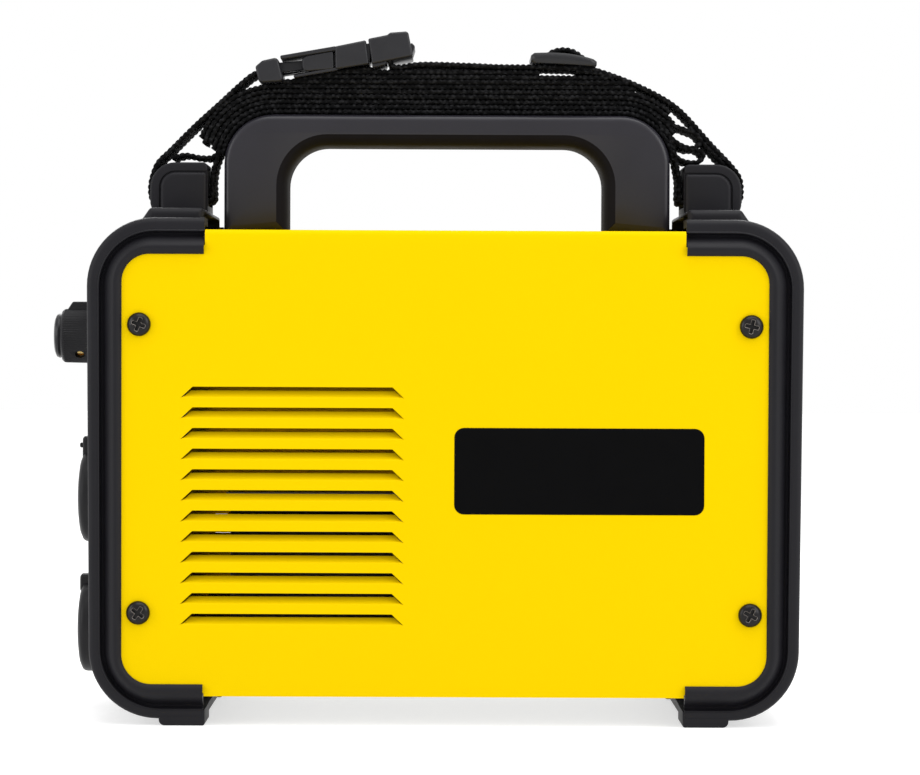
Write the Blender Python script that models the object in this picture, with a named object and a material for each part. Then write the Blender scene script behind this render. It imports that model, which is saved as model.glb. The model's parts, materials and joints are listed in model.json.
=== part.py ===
"""Portable stick (MMA) inverter welder with a carry handle and a shoulder strap.

Every length below is in millimetres; new_part() turns it into metres.
Case frame: X runs from the control end (-X) to the fan end (+X), Y across the case, Z up. X = 0 is
the middle of the case and the soles of the feet are at FOOT_SOLE; the whole assembly is then moved
so that the origin is the middle of its overall box, on the floor.
"""
import math

import bmesh
import bpy
from mathutils import Matrix, Vector

MM = 0.001
GAP = 0.3                     # clearance between pieces that rest on or sit in each other

# --- driving dimensions -------------------------------------------------------------------------
CASE_HALF = 149.2             # half length of the case over the two frames, at its top corners
CASE_FOOT = 147.4             # and at its bottom corners
CASE_REACH = 148.95           # where the rounding of the top corners ends
CASE_SIDE = 70.0              # half width, over the frames' beads
BAND_SIDE = 66.0              # half width over the frames' outer bands
FRAME_TOP = 211.2
FRAME_BOTTOM = 3.2
FOOT_SOLE = -0.8              # the feet reach on down to here, which is the floor
WALL = 3.4                    # moulded wall thickness
LEG_END = 100.4               # frames' top and bottom legs end here
LIP = 4.0                     # how far the cover tucks under the bead

SHEET = 1.2
COVER_SIDE = 68.0             # half width over the steel cover
COVER_TOP = 206.1
COVER_BOTTOM = 11.8
LOUVRES = 12
LOUVRE_TOP = 140.7
LOUVRE_PITCH = 8.59
LOUVRE_X = (-105.0, -22.0)
LOUVRE_GAP = 1.7

HANDLE_X = (-96.0, 97.0)
HANDLE_TOP = 258.0
HANDLE_SIDE = 17.0
GRIP_HALF = 68.1              # hand opening, half length and top
GRIP_TOP = 244.1
GRIP_RADIUS = 17.0

SCREW_X = 127.3               # cover screws
SCREW_Z = (166.5, 46.5)

HUMP_TOP = 217.5              # raised back of each frame's top leg
HUMP_SIDE = 50.0
LUG_X = (102.9, 127.7)        # strap lug, distances from the middle of the case
LUG_TOP = 236.9
LUG_SIDE = 16.2
LUG_RADIUS = 10.8
SLOT_Z = (218.3, 222.6)       # strap slot through the lug's root
SLOT_SIDE = 13.4

FASCIA_FRONT = 148.2
WINDOW_SIDE = 46.0            # frame's front window, half width and its ends
WINDOW_Z = (22.0, 190.0)
REAR_WINDOW_SIDE = 54.0
REAR_PANEL = (135.0, 138.4)   # the rear panel's faces, set back inside its frame

KNOB_Z = 161.8
KNOB_TIP = 170.5
KNOB_RADIUS = 11.6
LENS_Y = (-37.0, 37.0)        # power and overheat lenses
LENS_Z = 180.0
SOCKET_Z = (91.6, 34.9)
SOCKET_RADIUS = 19.7

FAN_Z = 148.0
FAN_HALF = 46.0
FAN_X = (110.0, 134.7)
SWITCH_Z = 66.0
SWITCH_Y = -24.0
ROCKER_AXIS_X = 135.8
ROCKER_TILT = 12.0            # degrees either side of level
GLAND_Z = 40.0
GLAND_Y = 26.0

STRAP = 2.2                   # webbing thickness
STRAP_SIDE = 12.5             # and half width
BUCKLE_START = (-82.4, 274.9)  # free end of the buckle's plug, in X and Z
BUCKLE_TILT = 10.8            # degrees, rising towards +X
SLIDER_X = 50.9
SLIDER_Z = 281.4

SHIFT_X = (KNOB_TIP - CASE_REACH) / 2.0
LIFT = -FOOT_SOLE

PALETTE = {
    "yellow_coat": ((1.0, 0.77, 0.0), 0.35, 0.0),
    "black_plastic": ((0.028, 0.027, 0.031), 0.45, 0.0),
    "black_satin": ((0.04, 0.039, 0.044), 0.32, 0.0),
    "webbing": ((0.012, 0.012, 0.013), 0.9, 0.0),
    "blackened_steel": ((0.03, 0.03, 0.032), 0.35, 0.9),
    "zinc_steel": ((0.62, 0.62, 0.6), 0.35, 1.0),
    "brass": ((0.8, 0.6, 0.25), 0.3, 1.0),
    "copper": ((0.85, 0.42, 0.25), 0.35, 1.0),
    "aluminium": ((0.72, 0.73, 0.74), 0.4, 1.0),
    "circuit_board": ((0.03, 0.16, 0.06), 0.5, 0.0),
    "ferrite": ((0.06, 0.06, 0.065), 0.7, 0.0),
    "dial_plate": ((0.1, 0.1, 0.11), 0.5, 0.0),
    "green_lens": ((0.1, 0.6, 0.15), 0.15, 0.0),
    "amber_lens": ((0.9, 0.5, 0.05), 0.15, 0.0),
}


# --- helpers ------------------------------------------------------------------------------------
def clear_scene():
    for obj in list(bpy.data.objects):
        bpy.data.objects.remove(obj, do_unlink=True)


def material(name):
    found = bpy.data.materials.get(name)
    if found:
        return found
    colour, roughness, metallic = PALETTE[name]
    mat = bpy.data.materials.new(name)
    mat.use_nodes = True
    shader = mat.node_tree.nodes["Principled BSDF"]
    shader.inputs["Base Color"].default_value = (*colour, 1.0)
    shader.inputs["Roughness"].default_value = roughness
    shader.inputs["Metallic"].default_value = metallic
    return mat


def new_part(name, bm, mat, parent, smooth=True):
    """Object from a closed bmesh in case millimetres, as a child of an empty that has no rotation."""
    bmesh.ops.recalc_face_normals(bm, faces=bm.faces)
    offset = Vector(parent.get("case_origin", (0.0, 0.0, 0.0)))
    for vert in bm.verts:
        vert.co = (vert.co - offset) * MM
    mesh = bpy.data.meshes.new(name)
    bm.to_mesh(mesh)
    bm.free()
    if smooth:
        mesh.shade_smooth()
        mesh.set_sharp_from_angle(angle=math.radians(35))
    obj = bpy.data.objects.new(name, mesh)
    bpy.context.scene.collection.objects.link(obj)
    obj.parent = parent
    if mat:
        mesh.materials.append(material(mat))
    return obj


def boolean(target, bm, operation):
    """Cut or join target with a closed bmesh, through a hidden guide object."""
    guide = new_part(target.name + "_guide", bm, None, target.parent, smooth=False)
    guide.hide_render = True
    guide.display_type = "WIRE"
    step = target.modifiers.new(operation.lower(), "BOOLEAN")
    step.operation = operation
    step.object = guide
    step.solver = "EXACT"


def cut(target, *meshes):
    for bm in meshes:
        boolean(target, bm, "DIFFERENCE")


def join(target, *meshes):
    for bm in meshes:
        boolean(target, bm, "UNION")


def empty(name, case_origin, parent=None):
    obj = bpy.data.objects.new(name, None)
    bpy.context.scene.collection.objects.link(obj)
    start = Vector(parent["case_origin"]) if parent else Vector((0, 0, 0))
    obj["case_origin"] = tuple(case_origin)
    obj.location = (Vector(case_origin) - start) * MM
    obj.parent = parent
    return obj


def rounded(corners, steps=6):
    """Closed outline from (u, v, radius) corners, each radius drawn as an arc."""
    points = []
    count = len(corners)
    for i, (u, v, radius) in enumerate(corners):
        here = Vector((u, v))
        if radius <= 0:
            points.append(here)
            continue
        to_last = (Vector(corners[i - 1][:2]) - here).normalized()
        to_next = (Vector(corners[(i + 1) % count][:2]) - here).normalized()
        half = to_last.angle(to_next) / 2.0
        reach = radius / math.tan(half)
        middle = here + (to_last + to_next).normalized() * (radius / math.sin(half))
        first = here + to_last * reach - middle
        last = here + to_next * reach - middle
        turn = first.angle_signed(last)
        for k in range(steps + 1):
            points.append(middle + Matrix.Rotation(-turn * k / steps, 2) @ first)
    return points


def box_outline(u0, v0, u1, v1, radius=0.0):
    return [(u0, v0, radius), (u1, v0, radius), (u1, v1, radius), (u0, v1, radius)]


def place(axis, u, v, along):
    """Outline coordinates (u, v) and the position along the extrusion, as X, Y, Z."""
    if axis == "X":
        return (along, u, v)
    if axis == "Y":
        return (u, along, v)
    return (u, v, along)


def prism(outline, axis, low, high, bevel=0.0, steps=2, keep=None):
    """Extrude an outline along an axis and round its end edges, all or those that keep() accepts."""
    bm = bmesh.new()
    ends = []
    for along in (low, high):
        ends.append([bm.verts.new(place(axis, p[0], p[1], along)) for p in outline])
    count = len(outline)
    for i in range(count):
        j = (i + 1) % count
        bm.faces.new((ends[0][i], ends[0][j], ends[1][j], ends[1][i]))
    caps = [bm.faces.new(ring) for ring in ends]
    bmesh.ops.recalc_face_normals(bm, faces=bm.faces)
    if bevel > 0:
        edges = {edge for cap in caps for edge in cap.edges}
        if keep:
            edges = {edge for edge in edges if all(keep(*vert.co) for vert in edge.verts)}
        bmesh.ops.bevel(bm, geom=list(edges), offset=bevel, segments=steps, profile=0.5,
                        affect="EDGES", clamp_overlap=True)
    return bm


def block(x0, y0, z0, x1, y1, z1, bevel=0.0):
    return prism(rounded(box_outline(x0, y0, x1, y1)), "Z", z0, z1, bevel)


def turned(profile, axis, centre, sides=32):
    """Solid of revolution: (position along the axis, radius) pairs; radius 0 closes an end.

    A profile that never touches the axis is taken as a ring, and is closed on itself.
    """
    bm = bmesh.new()
    rings = []
    for along, radius in profile:
        if radius == 0:
            rings.append([bm.verts.new(place(axis, *centre, along))])
            continue
        ring = []
        for k in range(sides):
            angle = math.tau * k / sides
            u = centre[0] + radius * math.cos(angle)
            v = centre[1] + radius * math.sin(angle)
            ring.append(bm.verts.new(place(axis, u, v, along)))
        rings.append(ring)
    pairs = list(zip(rings, rings[1:]))
    if profile[0][1] > 0 and profile[-1][1] > 0:
        pairs.append((rings[-1], rings[0]))
    for first, second in pairs:
        for k in range(sides):
            m = (k + 1) % sides
            if len(first) == 1:
                bm.faces.new((first[0], second[m], second[k]))
            elif len(second) == 1:
                bm.faces.new((first[k], first[m], second[0]))
            else:
                bm.faces.new((first[k], first[m], second[m], second[k]))
    return bm


def cylinder(axis, centre, radius, low, high, sides=24):
    return turned([(low, 0), (low, radius), (high, radius), (high, 0)], axis, centre, sides)


def tube(axis, centre, outer, inner, low, high, sides=24):
    profile = [(low, outer), (high, outer), (high, inner), (low, inner)]
    return turned(profile, axis, centre, sides)


def moved(bm, matrix):
    bmesh.ops.transform(bm, matrix=matrix, verts=bm.verts)
    return bm


def ribbon(path, half_width, thickness):
    """Flat webbing swept along a path in X and Z, centred on Y = 0."""
    points = [Vector(p) for p in path]
    bm = bmesh.new()
    rings = []
    for i, point in enumerate(points):
        before = points[max(i - 1, 0)]
        after = points[min(i + 1, len(points) - 1)]
        along = (after - before).normalized()
        side = Vector((-along.y, along.x)) * (thickness / 2.0)
        upper = point + side
        lower = point - side
        rings.append([bm.verts.new((p.x, y, p.y)) for p, y in (
            (upper, -half_width), (upper, half_width), (lower, half_width), (lower, -half_width))])
    for first, second in zip(rings, rings[1:]):
        for k in range(4):
            m = (k + 1) % 4
            bm.faces.new((first[k], first[m], second[m], second[k]))
    bm.faces.new(rings[0])
    bm.faces.new(rings[-1])
    return bm


# --- frames -------------------------------------------------------------------------------------
# Outlines seen from the side: half length at the top and at the bottom, lowest and highest Z, and
# the lower and upper corner radius.
EDGE = (CASE_HALF, CASE_FOOT, FRAME_BOTTOM, FRAME_TOP, 27.0, 28.2)
RIDGE = (CASE_HALF - 4.6, CASE_FOOT - 4.4, FRAME_BOTTOM + 4.4, FRAME_TOP - 5.6, 23.0, 23.4)
SIGHT = (134.6, 134.2, 16.8, 195.8, 12.4, 11.6)        # what is seen of the cover's side
TUCK = (138.4, 138.4, 12.8, 199.8, 16.4, 15.6)         # how far the cover really reaches


def inset(outline, amount):
    high_half, low_half, low, high, low_radius, high_radius = outline
    return (high_half - amount, low_half - amount, low + amount, high - amount,
            low_radius - amount, high_radius - amount)


SOLID = inset(TUCK, 1.0)


def side_of(s, outline, start):
    """Open outline of one end, from its top leg round to its bottom leg; s is -1 or +1."""
    high_half, low_half, low, high, low_radius, high_radius = outline
    return [(s * start, high, 0), (s * high_half, high, high_radius),
            (s * low_half, low, low_radius), (s * start, low, 0)]


def c_outline(s, outer, inner, start=LEG_END):
    """C-shaped side view of a frame: s is -1 for the control end and +1 for the fan end."""
    return rounded(side_of(s, outer, start) + side_of(s, inner, start)[::-1])


def build_frame(s, name, root):
    """One end frame: band, bead, two legs, two feet, hump and strap lug, in one moulding."""
    outer = {(round(p.x, 3), round(p.y, 3)) for p in rounded(side_of(s, EDGE, LEG_END))}
    shell = prism(c_outline(s, EDGE, SOLID), "Y", -BAND_SIDE, BAND_SIDE, 3.0, 2,
                  keep=lambda x, y, z: abs(x) > LEG_END + 1 and (round(x, 3), round(z, 3)) in outer)
    frame = new_part(name, shell, "black_plastic", root)
    for side in (-1, 1):
        low, high = sorted((side * 60.0, side * CASE_SIDE))
        bead = prism(c_outline(s, RIDGE, SIGHT, LEG_END + 0.4), "Y", low, high, 1.3, 2,
                     keep=lambda x, y, z, end=side * CASE_SIDE: abs(y - end) < 0.01
                     and abs(x) > LEG_END + 1)
        join(frame, bead)
    pocket = rounded(side_of(s, TUCK, 90.0))
    cut(frame, prism(pocket, "Y", -COVER_SIDE - GAP, COVER_SIDE + GAP))
    hollow = rounded(side_of(s, inset(EDGE, WALL), 90.0))
    cut(frame, prism(hollow, "Y", WALL - BAND_SIDE, BAND_SIDE - WALL))
    add_hump_and_lug(frame, s)
    add_feet(frame, s)
    return frame


def add_hump_and_lug(frame, s):
    side_view = rounded([(s * 102.3, 208.4, 0), (s * 102.3, HUMP_TOP, 0), (s * 124.6, HUMP_TOP, 3.0),
                         (s * 133.2, 206.8, 0)], 3)
    hump = prism(side_view, "Y", -HUMP_SIDE, HUMP_SIDE)
    join(frame, hump)
    inside = rounded([(-HUMP_SIDE + WALL, 190, 0), (HUMP_SIDE - WALL, 190, 0),
                      (HUMP_SIDE - WALL, HUMP_TOP - 2.8, 5.0), (-HUMP_SIDE + WALL, HUMP_TOP - 2.8, 5.0)])
    low, high = sorted((s * 95.0, s * 121.0))
    cut(frame, prism(inside, "X", low, high))
    near, far = LUG_X
    lug = rounded([(s * near, HUMP_TOP - 1, 0), (s * near, LUG_TOP, 1.5),
                   (s * far, LUG_TOP, LUG_RADIUS), (s * far, HUMP_TOP + 2.5, 0),
                   (s * (far - 1.8), HUMP_TOP - 3.6, 0), (s * (far - 5.0), HUMP_TOP - 3.6, 0),
                   (s * (far - 5.8), HUMP_TOP - 1, 0)])
    join(frame, prism(lug, "Y", -LUG_SIDE, LUG_SIDE))
    low, high = sorted((s * (near - 3), s * (far + 3)))
    slot = block(low, -SLOT_SIDE, SLOT_Z[0], high, SLOT_SIDE, SLOT_Z[1])
    cut(frame, slot)
    # Shallow channel round the lug's back, where the webbing lies between its two cheeks.
    channel = rounded([(s * (far - 1.2), SLOT_Z[0], 0), (s * (far - 1.2), LUG_TOP - 1.2, LUG_RADIUS - 1.2),
                       (s * (near + 8), LUG_TOP - 1.2, 0), (s * (near + 8), LUG_TOP + 6, 0),
                       (s * (far + 6), LUG_TOP + 6, 0), (s * (far + 6), SLOT_Z[0], 0)])
    cut(frame, prism(channel, "Y", -SLOT_SIDE, SLOT_SIDE))


def add_feet(frame, s):
    for side in (-1, 1):
        outline = rounded([(s * (LEG_END - 0.7), FOOT_SOLE, 1.2), (s * 118.9, FOOT_SOLE, 2.4),
                           (s * 118.9, 5.4, 0), (s * (LEG_END - 0.7), 5.4, 0)], 3)
        low, high = sorted((side * 39.5, side * (BAND_SIDE - 0.3)))
        join(frame, prism(outline, "Y", low, high))


def add_screw_bosses(frame, s):
    """Blocks behind the cover's corners that take the cover screws."""
    for z in SCREW_Z:
        for side in (-1, 1):
            x0, x1 = sorted((s * 121.0, s * (CASE_FOOT - 1.5)))
            y0, y1 = sorted((side * 56.0, side * (COVER_SIDE - SHEET - 0.4)))
            join(frame, block(x0, y0, z - 6.5, x1, y1, z + 6.5))
            y0, y1 = sorted((side * 57.5, side * 80.0))
            cut(frame, cylinder("Y", (s * SCREW_X, z), 2.3, y0, y1, 12))


# --- case -----------------------------------------------------------------------------------------
def build_cover(root):
    corners = []
    for s in (-1, 1):
        arm = side_of(s, inset(TUCK, GAP), 100.0)[::-1]
        arm = [(s * 100.0, COVER_BOTTOM, 0), *arm, (s * 100.0, COVER_TOP, 0)]
        corners += arm if s > 0 else arm[::-1]
    bm = prism(rounded(corners), "Y", -COVER_SIDE, COVER_SIDE, 2.0, 2,
               keep=lambda x, y, z: z > COVER_TOP - 0.01)
    cover = new_part("cover", bm, "yellow_coat", root)
    cut(cover, block(-150, SHEET - COVER_SIDE, 0, 150, COVER_SIDE - SHEET, COVER_TOP - SHEET))
    for s in (-1, 1):
        # Tongue of the top sheet that slides in under the frame's hump.
        low, high = sorted((s * 97.0, s * 114.0))
        join(cover, block(low, -44, COVER_TOP - SHEET, high, 44, COVER_TOP))
    for i in range(LOUVRES):
        top = LOUVRE_TOP - i * LOUVRE_PITCH
        cut(cover, block(LOUVRE_X[0], -80, top - LOUVRE_GAP, LOUVRE_X[1], 80, top))
    for s in (-1, 1):
        for z in SCREW_Z:
            cut(cover, cylinder("Y", (s * SCREW_X, z), 2.4, -80, 80, 12))
        cut(cover, cylinder("Z", (s * 82.0, 0), 2.8, 190, 210, 12))
    return cover


def build_base_plate(root):
    wide = 99.6
    long = 134.0
    inner = BAND_SIDE - WALL - 0.4
    outer = COVER_SIDE - SHEET - 0.4
    corners = [(-long, -inner), (-wide, -inner), (-wide, -outer), (wide, -outer), (wide, -inner),
               (long, -inner), (long, inner), (wide, inner), (wide, outer), (-wide, outer),
               (-wide, inner), (-long, inner)]
    low = COVER_BOTTOM + 0.2
    plate = new_part("base_plate", prism(corners, "Z", low, low + 1.4), "zinc_steel", root, False)
    for side in (-1, 1):
        y0, y1 = sorted((side * (outer - 1.4), side * outer))
        join(plate, block(-wide + 0.5, y0, low + 0.5, wide - 0.5, y1, low + 15.0))
    return plate


def build_handle(root):
    low = COVER_TOP + GAP
    left, right = HANDLE_X
    corners = [(left, low, 0), (left, HANDLE_TOP, 21.6), (right, HANDLE_TOP, 21.6), (right, low, 0),
               (GRIP_HALF, low, 0), (GRIP_HALF, GRIP_TOP, GRIP_RADIUS),
               (-GRIP_HALF, GRIP_TOP, GRIP_RADIUS), (-GRIP_HALF, low, 0)]
    bm = prism(rounded(corners, 8), "Y", -HANDLE_SIDE, HANDLE_SIDE, 3.0, 2,
               keep=lambda x, y, z: z > low + 0.01)
    handle = new_part("carry_handle", bm, "black_satin", root)
    for s in (-1, 1):
        cut(handle, cylinder("Z", (s * 82.0, 0), 2.3, 190, low + 14.0, 12))
    return handle


def pan_screw(name, axis, centre, head_at, inward, length, radius, head_radius, mat, root):
    """Pan-head screw: head_at is the seat under the head, inward is the way the shank points."""
    top = head_at - inward * 2.7
    profile = [(top, 0), (top, head_radius * 0.45), (top + inward * 0.7, head_radius * 0.85),
               (top + inward * 1.7, head_radius), (head_at, head_radius), (head_at, radius),
               (head_at + inward * length, radius), (head_at + inward * length, 0)]
    screw = new_part(name, turned(profile, axis, centre, 16), mat, root)
    reach = head_radius * 0.55
    u, v = centre
    low, high = sorted((top - inward * 1.0, top + inward * 1.3))
    for du, dv in ((reach, 0.55), (0.55, reach)):
        cut(screw, prism(rounded(box_outline(u - du, v - dv, u + du, v + dv)), axis, low, high))
    return screw


def build_cover_screws(root):
    for s, end in ((-1, "front"), (1, "rear")):
        for z, level in zip(SCREW_Z, ("upper", "lower")):
            for side, hand in ((-1, "near"), (1, "far")):
                pan_screw(f"cover_screw_{end}_{level}_{hand}", "Y", (s * SCREW_X, z),
                          side * (COVER_SIDE + 0.2), -side, 9.0, 2.0, 4.9, "blackened_steel", root)


def build_handle_screws(root):
    for s, end in ((-1, "front"), (1, "rear")):
        pan_screw(f"handle_screw_{end}", "Z", (s * 82.0, 0), COVER_TOP - SHEET - 0.3, 1, 12.0, 2.0,
                  5.2, "zinc_steel", root)


# --- control end ----------------------------------------------------------------------------------
def build_front_panel(root):
    outline = rounded(box_outline(-WINDOW_SIDE + GAP, WINDOW_Z[0] + GAP, WINDOW_SIDE - GAP,
                                  WINDOW_Z[1] - GAP, 8.0), 4)
    bm = prism(outline, "X", -FASCIA_FRONT, -142.2, 0.8, 2, keep=lambda x, y, z: x < -148)
    panel = new_part("front_panel", bm, "black_plastic", root)
    for z in SOCKET_Z:
        cut(panel, cylinder("X", (0, z), 14.6, -160, -140, 24))
    cut(panel, cylinder("X", (0, KNOB_Z), 4.0, -160, -140, 16))
    for y in LENS_Y:
        cut(panel, cylinder("X", (y, LENS_Z), 2.9, -160, -140, 16))


def build_dial_plate(root):
    outline = rounded(box_outline(-30, 141.0, 30, 183.5, 5.0), 3)
    low = -FASCIA_FRONT - GAP
    plate = new_part("dial_plate", prism(outline, "X", low - 0.5, low), "dial_plate", root)
    cut(plate, cylinder("X", (0, KNOB_Z), 4.0, -160, -140, 16))


def build_knob(root, spin):
    back = -(FASCIA_FRONT + GAP + 0.5 + 0.6)
    rim = -167.2
    profile = [(rim + 1.6, 0), (rim + 1.6, 9.0), (rim, 9.0), (rim, KNOB_RADIUS - 0.8),
               (rim + 0.8, KNOB_RADIUS), (back, KNOB_RADIUS + 0.4), (back, 3.3), (back - 11.0, 3.3),
               (back - 11.0, 0)]
    knob = new_part("current_knob", turned(profile, "X", (0, KNOB_Z), 32), "black_plastic", spin)
    fin = [(back, KNOB_Z + 9.0), (back, KNOB_Z + 14.9), (-162.6, KNOB_Z + 14.9),
           (-164.6, KNOB_Z + 11.8), (-164.6, KNOB_Z + 9.0)]
    join(knob, prism(fin, "Y", -2.6, 2.6))
    drill = cylinder("Z", (0, 0), 2.3, 4.0, 16.0, 16)
    cut(knob, moved(drill, set_screw_place()))
    cap_profile = [(-KNOB_TIP, 0), (-KNOB_TIP, 4.5), (-KNOB_TIP + 0.45, 7.6), (-KNOB_TIP + 1.4, 9.8),
                   (rim - GAP, 10.0), (rim - GAP, 8.7), (rim + 1.3, 8.7), (rim + 1.3, 0)]
    new_part("knob_cap", turned(cap_profile, "X", (0, KNOB_Z), 32), "black_satin", spin)
    screw = cylinder("Z", (0, 0), 2.0, 4.6, 10.2, 12)
    set_screw = new_part("knob_set_screw", moved(screw, set_screw_place()), "brass", spin)
    slit = block(-3.0, -0.45, 9.2, 3.0, 0.45, 12.0)
    cut(set_screw, moved(slit, set_screw_place()))
    shaft = cylinder("X", (0, KNOB_Z), 3.0, -160.2, -133.3, 16)
    new_part("potentiometer_shaft", shaft, "aluminium", spin)


def set_screw_place():
    """Radial hole in the knob's skirt, on the side away from its pointer."""
    turn = Matrix.Rotation(math.radians(142.5), 4, "X")
    return Matrix.Translation((-158.8, 0, KNOB_Z)) @ turn


def build_potentiometer(root):
    profile = [(-147.4, 3.7), (-141.9, 3.7), (-141.9, 12.0), (-133.0, 12.0), (-133.0, 3.3),
               (-147.4, 3.3)]
    new_part("potentiometer", turned(profile, "X", (0, KNOB_Z), 24), "zinc_steel", root)


def build_lenses(root):
    lenses = (("power_lens", "green_lens"), ("overheat_lens", "amber_lens"))
    for y, (name, mat) in zip(LENS_Y, lenses):
        front = -FASCIA_FRONT - 1.8
        profile = [(front, 0), (front + 0.2, 1.5), (front + 1.0, 2.5), (-138.0, 2.5), (-138.0, 0)]
        new_part(name, turned(profile, "X", (y, LENS_Z), 16), mat, root)


def build_sockets(root):
    face = -(FASCIA_FRONT + GAP)
    for z, sign in zip(SOCKET_Z, ("plus", "minus")):
        profile = [(-159.2, 9.6), (-158.9, 13.0), (-158.3, 16.6), (-157.3, 19.0),
                   (-156.0, SOCKET_RADIUS), (face, SOCKET_RADIUS), (face, 14.2), (-128.0, 14.2),
                   (-128.0, 9.6)]
        bm = turned(profile, "X", (0, z), 32)
        body = new_part(f"socket_{sign}_body", bm, "black_plastic", root)
        if sign == "plus":
            tab = rounded(box_outline(-5, z + 16.0, 5, z + 26.4, 2.5), 3)
            join(body, prism(tab, "X", -157.8, face, 0.8, 1, keep=lambda x, y, zz: x < -157.5))
            join(body, cylinder("X", (0, z + 22.6), 1.1, -159.5, -155.0, 10))
        else:
            tab = rounded(box_outline(-5, z + 15.0, 5, z + 23.0, 2.5), 3)
            join(body, prism(tab, "X", -158.8, face, 0.8, 1, keep=lambda x, y, zz: x < -158.5))
        cup = [(-118.0, 0), (-118.0, 9.2), (-156.0, 9.2), (-156.0, 6.5), (-132.0, 6.5), (-132.0, 0)]
        new_part(f"socket_{sign}_contact", turned(cup, "X", (0, z), 24), "brass", root)


def build_busbars(root):
    for z, sign, y in zip(SOCKET_Z, ("plus", "minus"), (-1, 1)):
        foot_z = 27.0
        outline = [(-117.6, z - 7), (-117.6, z + 7), (-115.6, z + 7), (-115.6, foot_z + 2.0),
                   (-98.0, foot_z + 2.0), (-98.0, foot_z), (-117.6, foot_z)]
        if z < 40:
            outline = [(-117.6, foot_z), (-117.6, z + 7), (-115.6, z + 7), (-115.6, foot_z + 2.0),
                       (-98.0, foot_z + 2.0), (-98.0, foot_z)]
        low, high = sorted((y * 1.0, y * 9.0))
        new_part(f"busbar_{sign}", prism(outline, "Y", low, high), "copper", root, False)


# --- fan end --------------------------------------------------------------------------------------
def build_rear_panel(root):
    outline = rounded(box_outline(-55.6, 17.0, 55.6, 197.0, 8.0), 3)
    panel = new_part("rear_panel", prism(outline, "X", *REAR_PANEL), "black_plastic", root)
    for i in range(9):
        z = FAN_Z + (i - 4) * 9.0
        half = math.sqrt(43.0 ** 2 - ((i - 4) * 9.0) ** 2)
        cut(panel, block(130, -half, z - 1.9, 150, half, z + 1.9))
    cut(panel, block(130, SWITCH_Y - 11.3, SWITCH_Z - 14.3, 150, SWITCH_Y + 11.3, SWITCH_Z + 14.3))
    cut(panel, cylinder("X", (GLAND_Y, GLAND_Z), 10.3, 130, 150, 24))


def build_fan(root, spin):
    low, high = FAN_X
    bm = prism(rounded(box_outline(-FAN_HALF, FAN_Z - FAN_HALF, FAN_HALF, FAN_Z + FAN_HALF, 5.0), 3),
               "X", low, high)
    housing = new_part("fan_housing", bm, "black_plastic", root)
    cut(housing, cylinder("X", (0, FAN_Z), 43.5, low - 5, high + 5, 40))
    motor = cylinder("X", (0, FAN_Z), 17.0, low, low + 5.0, 24)
    join(housing, motor)
    for k in range(4):
        strut = block(low, -2.0, 12.0, low + 3.0, 2.0, 45.0)
        turn = Matrix.Rotation(math.radians(45 + 90 * k), 4, "X")
        join(housing, moved(strut, Matrix.Translation((0, 0, FAN_Z)) @ turn))
    cut(housing, cylinder("X", (0, FAN_Z), 2.2, low - 1, low + 6, 12))
    hub = [(low + 0.8, 0), (low + 0.8, 1.5), (low + 5.6, 1.5), (low + 5.6, 17.0), (high - 1.5, 17.0),
           (high - 0.8, 15.5), (high - 0.8, 0)]
    rotor = new_part("fan_rotor", turned(hub, "X", (0, FAN_Z), 28), "black_satin", spin)
    for k in range(7):
        blade = block(-8.5, -1.0, 15.0, 8.5, 1.0, 42.0)
        pitch = Matrix.Rotation(math.radians(38), 4, "Z")
        turn = Matrix.Rotation(math.tau * k / 7, 4, "X")
        middle = Matrix.Translation(((low + high) / 2 + 2.2, 0, FAN_Z))
        join(rotor, moved(blade, middle @ turn @ pitch))


def build_switch(root, tilt):
    y, z = SWITCH_Y, SWITCH_Z
    face = REAR_PANEL[1] + GAP
    bm = block(face, y - 13.0, z - 16.0, face + 2.0, y + 13.0, z + 16.0)
    body = new_part("power_switch_body", bm, "black_plastic", root)
    join(body, block(116.0, y - 11.0, z - 14.0, face + 1.0, y + 11.0, z + 14.0))
    cut(body, block(130.0, y - 9.0, z - 12.6, face + 5.0, y + 9.0, z + 12.6))
    arc = []
    for k in range(7):
        angle = math.radians(-33 + 11 * k)
        front = ROCKER_AXIS_X - 1.0 + 10.5 * math.cos(angle) - 1.5 * math.cos(3 * angle)
        arc.append((front, z + 19.0 * math.sin(angle)))
    outline = [(ROCKER_AXIS_X - 2.5, z - 8.0), *arc, (ROCKER_AXIS_X - 2.5, z + 8.0)]
    rocker_mesh = prism(outline, "Y", y - 8.6, y + 8.6)
    pivot = Vector((ROCKER_AXIS_X, y, z))
    turn = Matrix.Translation(pivot) @ Matrix.Rotation(math.radians(ROCKER_TILT), 4, "Y")
    moved(rocker_mesh, turn @ Matrix.Translation(-pivot))
    new_part("power_rocker", rocker_mesh, "black_satin", tilt)


def build_gland(root):
    centre = (GLAND_Y, GLAND_Z)
    face = REAR_PANEL[1] + GAP
    profile = [(118.0, 9.9), (face, 9.9), (face, 13.0), (face + 3.5, 13.0), (face + 3.5, 9.0),
               (face + 7.6, 9.0), (face + 7.6, 6.5), (118.0, 6.5)]
    new_part("cable_gland", turned(profile, "X", centre, 24), "black_plastic", root)
    nut = [(face + 3.9, 9.4), (face + 3.9, 12.2), (face + 7.4, 12.2), (face + 9.5, 9.4),
           (face + 9.5, 5.2), (face + 8.0, 5.2), (face + 8.0, 9.4)]
    new_part("gland_nut", turned(nut, "X", centre, 24), "black_plastic", root)
    hexagon = cylinder("X", centre, 14.0, 129.7, 134.6, 6)
    locknut = new_part("gland_locknut", hexagon, "black_plastic", root, False)
    cut(locknut, cylinder("X", centre, 10.3, 120.0, 145.0, 24))


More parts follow.
